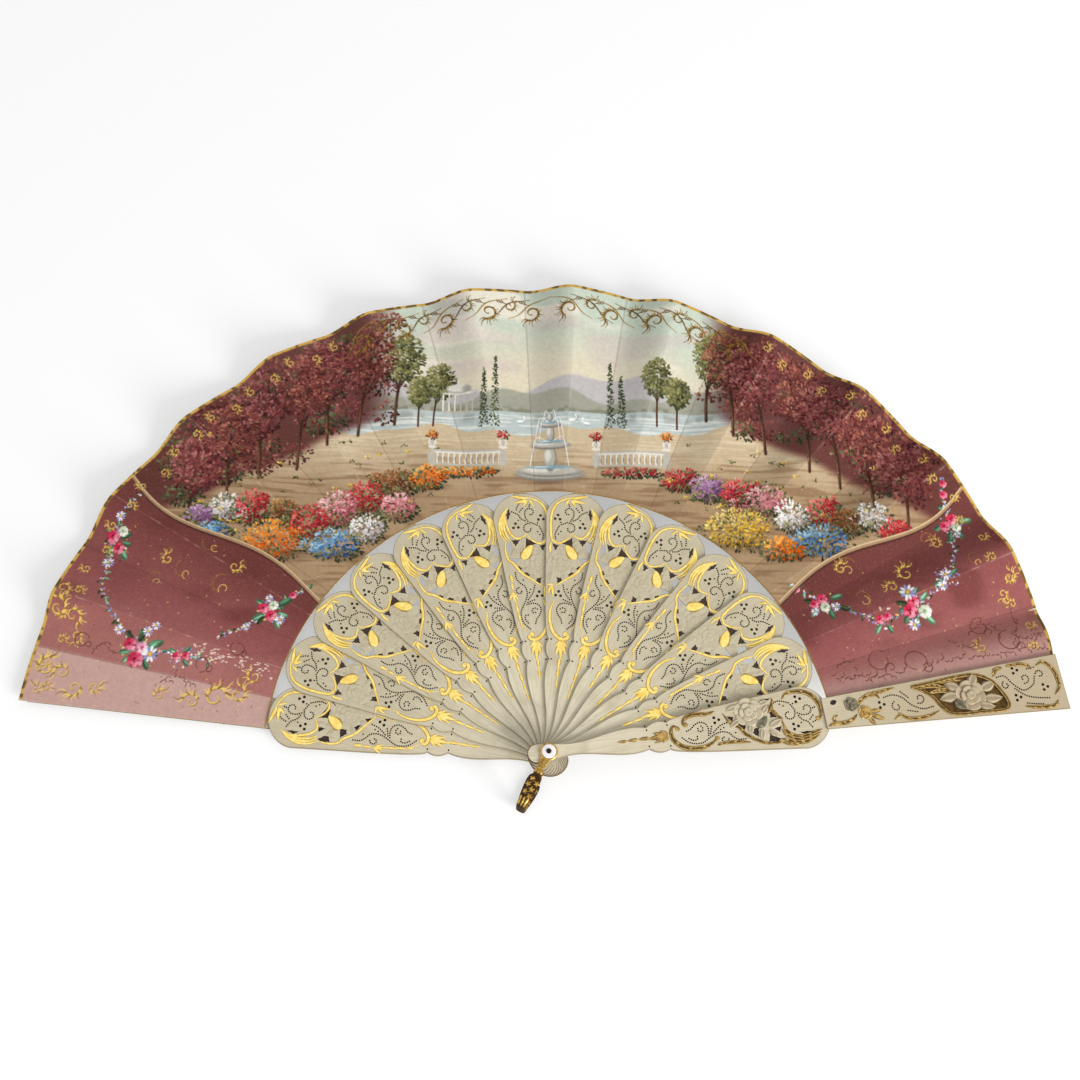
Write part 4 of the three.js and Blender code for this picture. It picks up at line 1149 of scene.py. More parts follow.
# Every point of the leaf's front, row by row from the inner edge and column by column from the right
leaf_angle = FIRST_EDGE + PANEL_ANGLE * np.arange(STRIP_COUNT * PANEL_COLUMNS + 1) / PANEL_COLUMNS
strip_place = np.arange(len(leaf_angle)) / PANEL_COLUMNS
leaf_rim = np.interp(strip_place, (1, 2), (SHAFT_TIP[0], LEAF_RADIUS))
leaf_share = np.linspace(0, 1, LEAF_ROWS + 1)[:, None]
leaf_reach = LEAF_INNER + (leaf_rim[None, :] - LEAF_INNER) * leaf_share
leaf_x, leaf_y = turned(leaf_reach, leaf_angle)

MAUVE = (0.57, 0.325, 0.32)
DEEP_MAUVE = (0.43, 0.22, 0.21)
LIGHT_MAUVE = (0.6, 0.36, 0.35)
DARK_ROSE = (0.39, 0.2, 0.185)
FADED_ROSE = (0.66, 0.44, 0.41)
PALE_PINK = (0.79, 0.65, 0.61)
OLD_GOLD = (0.58, 0.45, 0.19)
chance = np.random.default_rng(7)


def cloud(wide, tall, seed):
    """Soft random values over the leaf, in patches of a width and a height."""
    across, up = (leaf_x + LEAF_RADIUS) / wide, leaf_y / tall
    patches = (int(LEAF_RADIUS / tall) + 3, int(2 * LEAF_RADIUS / wide) + 3)
    coarse = np.random.default_rng(seed).random(patches)
    column, row = np.floor(across).astype(int), np.floor(up).astype(int)
    right, high = across - column, up - row
    right, high = right * right * (3 - 2 * right), high * high * (3 - 2 * high)
    lower = coarse[row, column] + right * (coarse[row, column + 1] - coarse[row, column])
    upper = coarse[row + 1, column] + right * (coarse[row + 1, column + 1] - coarse[row + 1, column])
    return lower + high * (upper - lower)


def eased(value, start, end):
    share = np.clip((value - start) / (end - start), 0, 1)
    return share * share * (3 - 2 * share)


paint = np.empty(leaf_x.shape + (3,))
gold = np.zeros(leaf_x.shape)


def wash(colour, strength):
    """Colour over the whole leaf, with its own strength at each point."""
    strength = np.broadcast_to(strength, leaf_x.shape)[:, :, None]
    paint[:] += strength * (np.asarray(colour) - paint)


def dab(x, y, along, across, turn, colour, strength=1.0, soft=0.5, gilt=0.0):
    """One touch of the brush, an oval with a soft edge."""
    reach = max(along, across)
    radius, angle = math.hypot(x, y), math.atan2(y, x)
    first_row = int((radius - reach - LEAF_INNER) / (LEAF_RADIUS - LEAF_INNER) * LEAF_ROWS)
    last_row = int((radius + reach + 5 - LEAF_INNER) / (LEAF_RADIUS - LEAF_INNER) * LEAF_ROWS) + 2
    spread = reach / max(radius - reach, 60.0)
    first_column, last_column = np.searchsorted(leaf_angle, (angle - spread, angle + spread))
    window = (slice(max(first_row, 0), max(last_row, 0)), slice(max(first_column - 1, 0), last_column + 1))
    right, up = leaf_x[window] - x, leaf_y[window] - y
    if right.size == 0:
        return
    cos, sin = math.cos(turn), math.sin(turn)
    distance = np.hypot((right * cos + up * sin) / along, (up * cos - right * sin) / across)
    cover = strength * np.clip((1 - distance) / soft, 0, 1)
    paint[window] += cover[:, :, None] * (np.asarray(colour) - paint[window])
    gold[window] += cover * (gilt - gold[window])


def brush(corners, width, colour, strength=1.0, gilt=0.0, thin=True):
    """A line of the brush, thinner at both ends."""
    line = smooth_line(corners, max(0.35, 0.35 * width))
    for share, (x, y) in zip(np.linspace(0, 1, len(line)), line):
        size = max(width / 2 * (max(math.sin(math.pi * share), 0.25) ** 0.6 if thin else 1), 0.32)
        dab(x, y, size, size, 0, colour, strength, 0.6, gilt)


def varied(colour, amount):
    return np.clip(np.asarray(colour) + chance.normal(0, amount), 0, 1)


# The ground: rose and mauve, darker beside the picture and paling towards the two guards
wash(MAUVE, 1)
wash(DEEP_MAUVE, 0.6 * eased(cloud(22, 12, 1), 0.45, 0.9))
wash(LIGHT_MAUVE, 0.5 * eased(cloud(16, 8, 2), 0.55, 0.95))
from_end = np.degrees(np.minimum(leaf_angle - leaf_angle[0], leaf_angle[-1] - leaf_angle))[None, :]
wash(DARK_ROSE, 0.75 * eased(from_end, 15, 27))
wash(FADED_ROSE, 0.85 * eased(from_end, 17, 7))
# Paler pink at the two ends: gradual on the right, and on the left the whole flat end panel painted pale, a
# painted highlight of that lit facet.
left_half = np.degrees(leaf_angle)[None, :] > 90
wash(PALE_PINK, np.where(left_half, 0.9 * eased(from_end, 6.6, 6.0), 0.7 * eased(from_end, 12, 6)))
ground = paint.copy()

# The picture: a lake garden between two wooded banks, under a pale sky
SCENE_EDGES_DEG = (34.0, 146.0)
SCENE_SWAY = 1.6
SWAY_LENGTH = 20.0
SKY_CREAM = (0.87, 0.83, 0.73)
SKY_GREEN = (0.76, 0.81, 0.75)
CLOUD_WHITE = (0.93, 0.89, 0.82)
CLOUD_LILAC = (0.8, 0.74, 0.72)
FAR_HILLS = (0.72, 0.7, 0.72)
NEAR_HILLS = (0.62, 0.62, 0.55)
FAR_WOOD = (0.46, 0.47, 0.38)
LAKE = (0.73, 0.77, 0.76)
MIRRORED_WOOD = (0.55, 0.57, 0.52)
GLEAM = (0.92, 0.92, 0.88)
SAND = (0.8, 0.72, 0.59)
PALE_SAND = (0.86, 0.79, 0.67)
EARTH = (0.64, 0.52, 0.39)
FURROW = (0.5, 0.37, 0.26)
angle_deg = np.degrees(leaf_angle)[None, :]
sway = SCENE_SWAY * np.sin((leaf_reach - LEAF_INNER) / SWAY_LENGTH)
scene = eased(angle_deg, SCENE_EDGES_DEG[0] - 0.3 + sway, SCENE_EDGES_DEG[0] + 0.3 + sway)
scene = scene * eased(angle_deg, SCENE_EDGES_DEG[1] + 0.3 - sway, SCENE_EDGES_DEG[1] - 0.3 - sway)
streaks = cloud(16, 0.8, 11)


def wash_scene(colour, *shares):
    """Colour over the picture alone, as strong as all the shares together."""
    strength = scene
    for share in shares:
        strength = strength * share
    wash(colour, strength)


def below(line, soft=1.0):
    """One under a level line, and zero over it."""
    return eased(leaf_y, line + soft, line - soft)


wash_scene(SKY_CREAM)
wash_scene(SKY_GREEN, eased(leaf_reach, 212, 252), 0.9)
wash_scene(CLOUD_WHITE, 0.8, eased(cloud(30, 9, 4), 0.52, 0.8), eased(leaf_reach, 205, 235))
wash_scene(CLOUD_LILAC, 0.5, eased(cloud(30, 9, 14), 0.6, 0.85), eased(leaf_y, 196, 220))
wash_scene(FAR_HILLS, 0.8, below(206 + 6 * np.sin(leaf_x / 23) + 3 * np.sin(leaf_x / 9 + 1)))
wash_scene(NEAR_HILLS, 0.85, below(199 + 4 * np.sin(leaf_x / 17 + 2) + 2 * np.sin(leaf_x / 6)))
far_bank = eased(leaf_y, 193 + 2 * np.sin(leaf_x / 4), 190)
wash_scene(FAR_WOOD, 0.6, far_bank, eased(cloud(3, 2, 15), 0.3, 0.6))
wash_scene(LAKE, eased(leaf_y, 189.4, 188.6))
mirrored_bank = eased(leaf_y, 189, 187) * eased(leaf_y, 181, 186)
wash_scene(MIRRORED_WOOD, 0.55, mirrored_bank, eased(cloud(3, 8, 16), 0.4, 0.8))
wash_scene(GLEAM, 0.75, eased(leaf_y, 188, 186), eased(streaks, 0.55, 0.8))
shore = 178 + 2.4 * np.sin(leaf_x / 13) + 1.4 * np.sin(leaf_x / 5 + 1)
wash_scene(SAND, below(shore, 0.6))
wash_scene(PALE_SAND, 0.8, eased(leaf_y, shore - 1, shore - 3), eased(streaks, 0.5, 0.8))
wash_scene(EARTH, 0.85, eased(leaf_y, shore - 4, shore - 44))
furrows = eased(cloud(14, 1.4, 6), 0.5, 0.85)
wash_scene(FURROW, 0.55, eased(leaf_y, shore - 2, shore - 30), furrows)


def clump(x, y, wide, tall, colours, touches, size=1.1):
    """A mass of leaves or blossom, from dark to light at its upper left, as the colours go."""
    turn = chance.uniform(0, 2 * math.pi, touches)
    reach = np.sqrt(chance.random(touches))
    right, up = turned(reach, turn)
    light = 0.5 + 0.32 * up - 0.22 * right + chance.normal(0, 0.16, touches)
    shades = np.asarray(colours)
    for index in np.argsort(light):
        level = np.clip(light[index], 0, 1) * (len(shades) - 1)
        low = min(int(level), len(shades) - 2)
        colour = shades[low] + (level - low) * (shades[low + 1] - shades[low])
        along = size * chance.uniform(0.6, 1.3)
        dab(x + wide * right[index], y + tall * up[index], along, 0.62 * along, turn[index],
            varied(colour, 0.025), 0.9, 0.45)


def grove_tree(x, y, tall, wide, colours, trunk=2.2, touches=90):
    """A tree: a leaning trunk, a fork, and a crown of several leafy masses."""
    lean = chance.uniform(-0.1, 0.1) * tall
    bark = (0.24, 0.15, 0.11)
    brush([(x, y), (x + 0.2 * lean, y + 0.3 * tall), (x + lean, y + 0.74 * tall)], trunk, bark, thin=False)
    brush([(x - 0.4, y), (x + 0.2 * lean - 0.4, y + 0.3 * tall)], 0.6 * trunk, (0.44, 0.3, 0.22))
    fork = (x + 0.3 * lean, y + 0.36 * tall)
    for branch in (-1, 1):
        brush([fork, (x + lean + 0.55 * branch * wide, y + 0.7 * tall)], 0.5 * trunk, bark)
    for index in range(9):
        turn = 2 * math.pi * index / 8
        out = 1.0 if index < 8 else 0.0
        right, up = 0.62 * out * wide * math.cos(turn), 0.2 * tall * out * math.sin(turn)
        clump(x + lean + right, y + 0.76 * tall + up, 0.5 * wide, 0.13 * tall, colours, touches)


# Foliage from dark to light
RUSSET = [(0.17, 0.08, 0.08), (0.34, 0.15, 0.15), (0.5, 0.26, 0.23), (0.7, 0.45, 0.36)]
MAROON = [(0.2, 0.07, 0.09), (0.4, 0.17, 0.18), (0.56, 0.3, 0.29), (0.72, 0.48, 0.45)]
OLIVE = [(0.13, 0.14, 0.09), (0.28, 0.29, 0.17), (0.45, 0.45, 0.27), (0.66, 0.63, 0.42)]
DEEP_GREEN = [(0.08, 0.1, 0.07), (0.17, 0.21, 0.14), (0.3, 0.34, 0.22), (0.48, 0.5, 0.34)]

# The woods on both banks: undergrowth first, then the trees, each as its place, height, width and colours
BANK_TREES = [(86, 182, 52, 10, OLIVE), (100, 176, 62, 13, RUSSET), (118, 168, 62, 14, MAROON),
              (136, 156, 62, 15, RUSSET), (154, 146, 58, 15, MAROON), (172, 134, 54, 15, RUSSET),
              (190, 124, 50, 14, MAROON)]
LAKE_TREES = [(-63, 180, 36, 8), (-71, 179, 28, 6), (58, 181, 38, 8), (69, 180, 28, 7)]
CYPRESSES = [(-36, 32), (-30, 40), (33, 38), (39, 30)]
UNDERGROWTH = (RUSSET, MAROON, RUSSET, DEEP_GREEN)
WOOD_SHADE = (0.36, 0.18, 0.17)


def bank_level(x):
    return 190 - 0.5 * (abs(x) - 80)


bank = bank_level(leaf_x)
wash_scene(WOOD_SHADE, 0.9, eased(np.abs(leaf_x), 82, 104), eased(leaf_y, bank - 3, bank + 5))
for side in (-1, 1):
    for _ in range(70):
        x = side * chance.uniform(88, 205)
        y = bank_level(x) + chance.uniform(0, 60)
        wide, tall = chance.uniform(7, 11), chance.uniform(5, 8)
        clump(x, y, wide, tall, UNDERGROWTH[chance.integers(4)], 60)
    for x, y, tall, wide, colours in BANK_TREES:
        grove_tree(side * x + chance.normal(0, 2), y + chance.normal(0, 2), tall, wide, colours)
for x, y, tall, wide in LAKE_TREES:
    grove_tree(x, y, tall, wide, OLIVE, 1.3, 60)
for x, tall in CYPRESSES:
    for step in np.linspace(0, 1, 30):
        clump(x, 181 + tall * step, 2.6 * (1 - 0.85 * step) + 0.4, 1.6, DEEP_GREEN, 7, 0.7)

# A round garden temple on the far shore, and swans on the lake
STONE = [(0.52, 0.5, 0.47), (0.74, 0.72, 0.67), (0.9, 0.88, 0.83)]
TEMPLE_PARTS = [(189, 10.5, 0.9, 1), (200.4, 10.0, 1.1, 2), (203.0, 8.0, 3.2, 1), (203.6, 6.6, 2.6, 2),
                (207.2, 0.9, 1.2, 2)]
SWANS = [(12, 184.2, 1), (20, 182.6, -1), (-16, 183.6, 1)]
SWAN_NECK = np.array([(1.4, 0.3), (2.4, 1.8), (1.7, 3.0), (2.5, 3.1)])
SWAN_WHITE = (0.97, 0.97, 0.95)


def stone_parts(x, parts):
    """Ovals of stone over each other, each with its level, width, height and shade."""
    for y, wide, tall, shade in parts:
        dab(x, y, wide, tall, 0, STONE[shade], 0.95, 0.25)


for x in np.linspace(-58, -42, 6):
    brush([(x, 189.5), (x, 199.5)], 1.2, STONE[2] if x < -49 else STONE[1], thin=False)
stone_parts(-50, TEMPLE_PARTS)
dab(-45.5, 203.0, 3.2, 2.6, 0, STONE[0], 0.6, 0.6)
for x, y, hand in SWANS:
    dab(x, y, 2.1, 0.9, 0.1 * hand, SWAN_WHITE, 1, 0.35)
    brush(SWAN_NECK * (hand, 1) + (x, y), 0.7, SWAN_WHITE)
    dab(x, y - 1.2, 2.3, 0.5, 0, (0.58, 0.62, 0.6), 0.5)

# Beds of flowers along the paths: a green hedge first, then blossom in patches of one colour
ORANGE = [(0.48, 0.16, 0.05), (0.8, 0.34, 0.08), (0.92, 0.52, 0.16), (0.98, 0.74, 0.38)]
YELLOW = [(0.48, 0.32, 0.08), (0.78, 0.58, 0.16), (0.9, 0.76, 0.3), (0.98, 0.91, 0.6)]
CRIMSON = [(0.3, 0.04, 0.08), (0.56, 0.09, 0.13), (0.76, 0.2, 0.22), (0.92, 0.52, 0.48)]
BLUE = [(0.1, 0.16, 0.32), (0.2, 0.38, 0.6), (0.42, 0.62, 0.78), (0.74, 0.86, 0.9)]
WHITE = [(0.44, 0.4, 0.42), (0.72, 0.69, 0.7), (0.9, 0.88, 0.86), (0.98, 0.97, 0.95)]
LILAC = [(0.22, 0.1, 0.26), (0.44, 0.26, 0.46), (0.64, 0.46, 0.64), (0.84, 0.72, 0.82)]
PINK = [(0.44, 0.16, 0.22), (0.72, 0.36, 0.42), (0.87, 0.58, 0.6), (0.97, 0.82, 0.8)]
BROWN = [(0.16, 0.08, 0.05), (0.36, 0.19, 0.1), (0.54, 0.32, 0.17), (0.74, 0.52, 0.32)]
FLOWER_BEDS = [
    (-184, 126, 8, 7, LILAC), (-171, 132, 9, 8, WHITE), (-176, 118, 8, 6, BLUE), (-157, 132, 9, 9, CRIMSON),
    (-146, 114, 15, 11, ORANGE), (-139, 129, 8, 7, BROWN), (-126, 124, 10, 10, CRIMSON),
    (-112, 132, 11, 10, PINK), (-97, 138, 10, 9, CRIMSON), (-112, 112, 12, 9, BLUE),
    (-96, 121, 9, 8, WHITE), (-82, 147, 10, 8, BROWN), (-80, 133, 9, 8, PINK), (-66, 150, 9, 7, ORANGE),
    (182, 122, 8, 7, CRIMSON), (170, 130, 9, 8, WHITE), (156, 126, 9, 8, BROWN), (143, 116, 13, 10, BLUE),
    (145, 133, 9, 8, CRIMSON), (128, 130, 10, 9, WHITE), (114, 138, 11, 9, PINK),
    (99, 122, 17, 12, YELLOW), (122, 111, 10, 7, ORANGE), (100, 143, 10, 8, CRIMSON), (84, 145, 10, 8, LILAC),
    (70, 150, 9, 7, CRIMSON),
]
BED_SHADE = (0.3, 0.21, 0.14)
for x, y, wide, tall, colours in FLOWER_BEDS:
    dab(x + 0.3 * wide, y - 0.8 * tall, 1.5 * wide, 0.5 * tall, 0, BED_SHADE, 0.55, 0.9)
for x, y, wide, tall, colours in FLOWER_BEDS:
    clump(x, y - 0.2 * tall, 1.35 * wide, tall, DEEP_GREEN, 130)
for x, y, wide, tall, colours in sorted(FLOWER_BEDS, key=lambda bed: -bed[1]):
    for _ in range(3):
        right, up = chance.normal(0, 0.55 * wide), chance.normal(0, 0.3 * tall)
        clump(x + right, y + up, 0.5 * wide, 0.45 * tall, colours, 34, 0.9)
    clump(x, y, wide, tall, colours, int(2.2 * wide * tall), 0.95)
    clump(x, y - 0.75 * tall, 1.1 * wide, 0.35 * tall, OLIVE, 46, 0.9)
for _ in range(260):
    x, y = chance.uniform(-190, 190), chance.uniform(112, 172)
    if math.hypot(x, y) > 150 and abs(x) > 60:
        clump(x, y, 1.8, 1.1, OLIVE if chance.random() < 0.7 else YELLOW, 7, 0.7)

# A stone terrace with urns, and a white fountain with its basins and its jets in the middle
URN_PARTS = [(161, 2.4, 5.6, 1), (167.4, 2.8, 1.0, 2), (170.2, 2.6, 2.4, 2), (170.0, 1.2, 2.2, 1)]
FOUNTAIN_PARTS = [(153, 20, 4.6), (154.4, 18.4, 3.6), (162, 3.6, 8.4), (170, 12, 2.9), (176.5, 2.3, 6.0),
                  (182, 6.8, 2.0), (186, 1.3, 3.2)]
BASINS = [(156.4, 15.4), (171.4, 9.4), (183, 5.0)]
FOUNTAIN_SHADE = (0.42, 0.32, 0.23)
BASIN_WATER = (0.52, 0.64, 0.68)
JET_WHITE = (0.96, 0.97, 0.96)
JETS = [(5.6, 183.4, 11), (3.4, 188.4, 5), (10.4, 172, 15), (7.6, 184, 10)]
for side in (-1, 1):
    for x in np.arange(27, 62, 3.0):
        brush([(side * x, 158.5), (side * x, 164.0)], 1.4, STONE[2], thin=False)
        dab(side * x + 0.5, 160.6, 0.5, 2.2, 0, STONE[0], 0.7)
    for y, shade in ((157.6, 1), (164.6, 2), (165.6, 1)):
        brush([(side * 25, y), (side * 63, y)], 1.5, STONE[shade], thin=False)
    for x in (25, 63):
        stone_parts(side * x, URN_PARTS)
        clump(side * x, 174.6, 3.6, 2.8, DEEP_GREEN, 30, 0.8)
        clump(side * x, 175.2, 3.2, 2.4, CRIMSON if x == 25 else ORANGE, 34, 0.8)
    clump(side * 44, 153.0, 17, 3.4, DEEP_GREEN, 130)
    clump(side * 44, 153.6, 16, 2.6, ORANGE if side < 0 else CRIMSON, 120, 0.8)
dab(0, 149.6, 25, 4.6, 0, FOUNTAIN_SHADE, 0.6, 0.8)
for y, wide, tall in FOUNTAIN_PARTS:
    dab(0.5, y - 0.7, wide, tall, 0, STONE[0], 0.95, 0.2)
    dab(0, y, wide * 0.97, tall * 0.86, 0, STONE[1], 0.95, 0.25)
    dab(-0.24 * wide, y + 0.15 * tall, wide * 0.62, tall * 0.6, 0, STONE[2], 0.95, 0.5)
for y, wide in BASINS:
    dab(0, y, wide, 1.3, 0, BASIN_WATER, 0.9, 0.4)
    dab(-0.3 * wide, y + 0.2, 0.4 * wide, 0.5, 0, (0.9, 0.94, 0.94), 0.8, 0.5)
for fall in (-1, 1):
    for reach, top, drop in JETS:
        arch = [(0.2 * fall * reach, top), (0.7 * fall * reach, top + 1.4), (fall * reach, top - drop)]
        brush(arch, 0.8, JET_WHITE, 0.75)
paint[:] = ground + scene[:, :, None] * (paint - ground)


# Garlands of roses, daisies and leaves on the mauve, painted thickly
def bloom(x, y, size, colours):
    """A full rose: dark heart, light petals towards the lower right."""
    dab(x, y, size, 0.95 * size, 0, colours[0], 1, 0.2)
    for ring, count in ((0.74, 7), (0.45, 5)):
        for petal in range(count):
            turn = 2 * math.pi * (petal + chance.uniform(0, 0.5)) / count
            lit = 0.5 + 0.5 * math.cos(turn + 0.8)
            colour = np.asarray(colours[1]) + lit * (np.asarray(colours[2]) - colours[1])
            right, up = turned(ring * size, turn)
            dab(x + right, y + up, 0.4 * size, 0.26 * size, turn + 1.57, varied(colour, 0.03), 0.95, 0.4)
    dab(x - 0.1 * size, y + 0.1 * size, 0.3 * size, 0.26 * size, 0, colours[0], 0.95, 0.5)
    dab(x + 0.12 * size, y - 0.05 * size, 0.16 * size, 0.1 * size, 0.8, colours[2], 0.9)


def daisy(x, y, size):
    for petal in range(10):
        turn = 2 * math.pi * petal / 10
        shade = (0.95, 0.95, 0.97) if petal % 3 else (0.58, 0.6, 0.8)
        right, up = turned(0.62 * size, turn)
        dab(x + right, y + up, 0.42 * size, 0.19 * size, turn, varied(shade, 0.03), 0.95, 0.4)
    dab(x, y, 0.27 * size, 0.27 * size, 0, (0.86, 0.72, 0.3), 1, 0.4)


LEAF_GREENS = [(0.2, 0.26, 0.16), (0.27, 0.46, 0.34), (0.36, 0.55, 0.42), (0.47, 0.64, 0.5)]
STALK_GREEN = (0.3, 0.34, 0.24)
BUD_COLOURS = [(0.93, 0.93, 0.95), (0.52, 0.56, 0.8), (0.72, 0.66, 0.82), (0.9, 0.8, 0.5)]


def garland_leaf(x, y, length, turn):
    """A broad leaf with a dark vein and one light half."""
    colour = varied(LEAF_GREENS[chance.integers(4)], 0.02)
    cos, sin = turned(length, turn)
    x, y = x + cos / 2, y + sin / 2
    dab(x, y, length / 2, length / 4.6, turn, colour * 0.7, 0.95, 0.25)
    lit = np.minimum(colour * 1.25 + 0.03, 1)
    dab(x - 0.07 * sin, y + 0.07 * cos, 0.44 * length, 0.12 * length, turn, lit, 0.9, 0.5)


def sprig(x, y, size):
    """Small buds of white, blue and lilac on a thin stalk."""
    for _ in range(int(3 * size)):
        turn, reach = chance.uniform(0, 2 * math.pi), size * math.sqrt(chance.random())
        right, up = turned(reach, turn)
        colour = varied(BUD_COLOURS[chance.integers(4)], 0.02)
        dab(x + right, y + 0.8 * up, 0.75, 0.6, turn, colour, 0.95)


RED = [(0.58, 0.06, 0.18), (0.77, 0.16, 0.3), (0.93, 0.62, 0.68)]
LILAC_ROSE = [(0.72, 0.28, 0.42), (0.86, 0.58, 0.66), (0.96, 0.88, 0.9)]
WHITE_ROSE = [(0.52, 0.6, 0.48), (0.78, 0.8, 0.7), (0.96, 0.95, 0.9)]
# Each bouquet: its place, then its leaves, roses and daisies with their places from there
BOUQUETS = [
    (-226, 112,
     [(-2, 4, 6, 130), (-4, 1, 5, 190), (4, 2, 7, 20), (5, -2, 6, -15), (3, -6, 9, -60), (-3, -5, 6, 230)],
     [(-2, 2, 3.6, RED), (1.4, -4, 3.2, RED), (3.6, 4.4, 2.8, WHITE_ROSE)],
     [(2, 12, 2.7), (-3, -12, 3.2)]),
    (-209, 53,
     [(-4, 6, 8, 120), (2, 6, 8, 80), (8, 3, 10, 15), (-6, 0, 7, 190), (-5, -4, 7, 220), (6, -6, 8, -70),
      (-1, -8, 6, 250), (10, 0, 7, 30), (0, 8, 7, 55)],
     [(-4, 3, 3.4, RED), (2.4, 1, 3.4, LILAC_ROSE), (-1, -5, 4.4, RED)],
     [(6.4, -2, 4.4), (5, 9, 2.8), (9, 12, 2.4), (-10, 10, 2.6)]),
    (-187, 50,
     [(-2, 2, 5, 150), (3, 3, 5, 40), (2, -3, 5, -50)],
     [(-2, 0, 2.4, RED), (2.8, 0, 2.2, RED)],
     []),
    (-143, 75,
     [(-4, 4, 7, 150), (-5, -3, 8, 205), (4, -6, 8, -70), (6, -3, 7, -20), (7, 4, 9, 30), (-6, -6, 6, 230)],
     [(-3.6, 1, 3.0, RED), (0.4, -3, 3.2, RED), (1.4, 2.4, 2.6, WHITE_ROSE), (11, 8, 2.0, RED)],
     [(5, -5, 2.8), (-1, 6, 2.2), (-12, -9, 2.2)]),
    (213, 128,
     [(-2, 10, 6, 110), (8, 2, 9, 10), (5, -5, 8, -60), (-5, -2, 8, 205), (0, -8, 7, 260), (-3, 12, 6, 150)],
     [(1, 2, 3.4, RED), (-3, -2, 3.0, RED), (3.4, -2, 2.8, WHITE_ROSE), (-3, 15, 2.4, RED),
      (-3, 21, 2.2, RED)],
     [(-1.6, 8, 2.6), (3.4, -6.4, 2.2)]),
    (206, 95,
     [(4, 3, 6, 40), (-3, -4, 6, 200)],
     [],
     [(0, 2, 3.4), (-2, -4, 3.0)]),
    (189, 80,
     [(-6, 8, 7, 140), (-2, 10, 6, 60), (-6, 0, 8, 170), (-5, -6, 8, 240), (7, -8, 9, -40), (5, 4, 7, 50),
      (0, -10, 7, -80), (-8, -3, 6, 200)],
     [(-1, 2, 3.2, RED), (-3, -3, 4.0, RED), (5, -3, 3.8, WHITE_ROSE)],
     [(-3.6, 7, 4.6), (-1, -10, 3.4)]),
    (172, 72,
     [(-3, -4, 7, 240), (3, -4, 6, -60)],
     [(-2, 0, 2.6, RED), (2, 1.6, 2.2, RED)],
     []),
    (142, 81,
     [(-8, 0, 7, 170), (6, 4, 8, 20), (-5, -7, 7, 220), (4, -6, 7, -70), (12, -4, 8, -15)],
     [(-1, 2, 3.0, RED), (-5, -1, 2.6, RED), (0.4, -2.6, 2.8, WHITE_ROSE), (-14, 7, 2.0, RED)],
     [(6, -2, 2.6), (-5, -5, 2.4)]),
]
GARLANDS = [
    [(-216, 136), (-224, 124), (-227, 110), (-229, 98), (-230, 86), (-222, 70), (-209, 56), (-188, 51),
     (-172, 48)],
    [(-168, 60), (-156, 66), (-143, 75), (-131, 84), (-124, 86)],
    [(209, 152), (210, 140), (213, 126), (212, 108), (206, 95), (190, 80), (172, 72), (156, 76), (142, 81),
     (126, 90)],
]
for garland in GARLANDS:
    brush(garland, 0.7, STALK_GREEN, 0.8)
    for x, y in smooth_line(garland, 3.2):
        garland_leaf(x, y, chance.uniform(2.4, 4.2), chance.uniform(0, 2 * math.pi))
        sprig(x, y, 1.2)
for x, y, leaves, roses, daisies in BOUQUETS:
    sprig(x, y, 8)
    for right, up, length, turn in leaves:
        garland_leaf(x + 0.5 * right, y + 0.5 * up, length, math.radians(turn))
    for right, up, size, colours in roses:
        bloom(x + right, y + up, size, colours)
    for right, up, size in daisies:
        daisy(x + right, y + up, size)


# Gold drawn with a fine brush: a moulding round the picture, a border under the rim, scrolls on the mauve
def polar_place(radius, angle):
    return turned(radius, math.radians(angle))


BRIGHT_GOLD = (0.92, 0.78, 0.42)
BROWN_LINE = (0.36, 0.26, 0.12)
WORN_LINE = (0.4, 0.22, 0.18)
MOULDING_TONES = [(0.3, 0.17, 0.14), (0.66, 0.53, 0.4), (0.86, 0.76, 0.6)]
PALE_SPOT = (0.91, 0.86, 0.8)
RIM_GOLD = (0.8, 0.65, 0.33)
TARNISH = (0.34, 0.25, 0.12)
GILT = {BRIGHT_GOLD: 0.7, OLD_GOLD: 0.5, BROWN_LINE: 0.0, WORN_LINE: 0.0}
# Places, sizes, turns in degrees and hands of the scrolls on the two ends, and the lines of the worn ones
END_SCROLLS = [
    (-254, 44, 5.4, 60, 1), (-246, 41, 4.2, 200, -1), (-251, 74, 5.2, 100, -1), (-243, 70, 4.4, -60, 1),
    (-241, 60, 3.4, 250, 1), (-249, 84, 3.6, -80, 1), (-239, 33, 4.6, 200, 1), (-229, 34, 3.4, 20, -1),
    (-168, 29, 6.0, 10, 1), (-180, 27, 4.4, 170, -1), (-157, 31, 4.6, 80, -1), (-149, 40, 3.6, 120, 1),
    (-196, 30, 3.0, 40, 1), (-258, 32, 2.8, 120, -1), (186, 98, 4.4, 70, 1), (178, 90, 3.2, 200, -1),
    (240, 97, 3.6, 90, -1), (236, 88, 2.8, 250, 1), (221, 58, 3.2, 100, 1), (-198, 102, 3.0, 80, 1),
    (-163, 98, 3.2, 30, -1), (152, 100, 3.2, 60, 1), (204, 116, 3.0, 120, -1),
]
RUBBED_SCROLLS = [(154, 101, 6, 30), (199, 118, 5, 0), (161, 84, 6, -60), (222, 106, 4, 80),
                  (-190, 96, 5, 100), (-170, 88, 6, 60), (-176, 110, 5, 150), (-205, 92, 4, 30)]
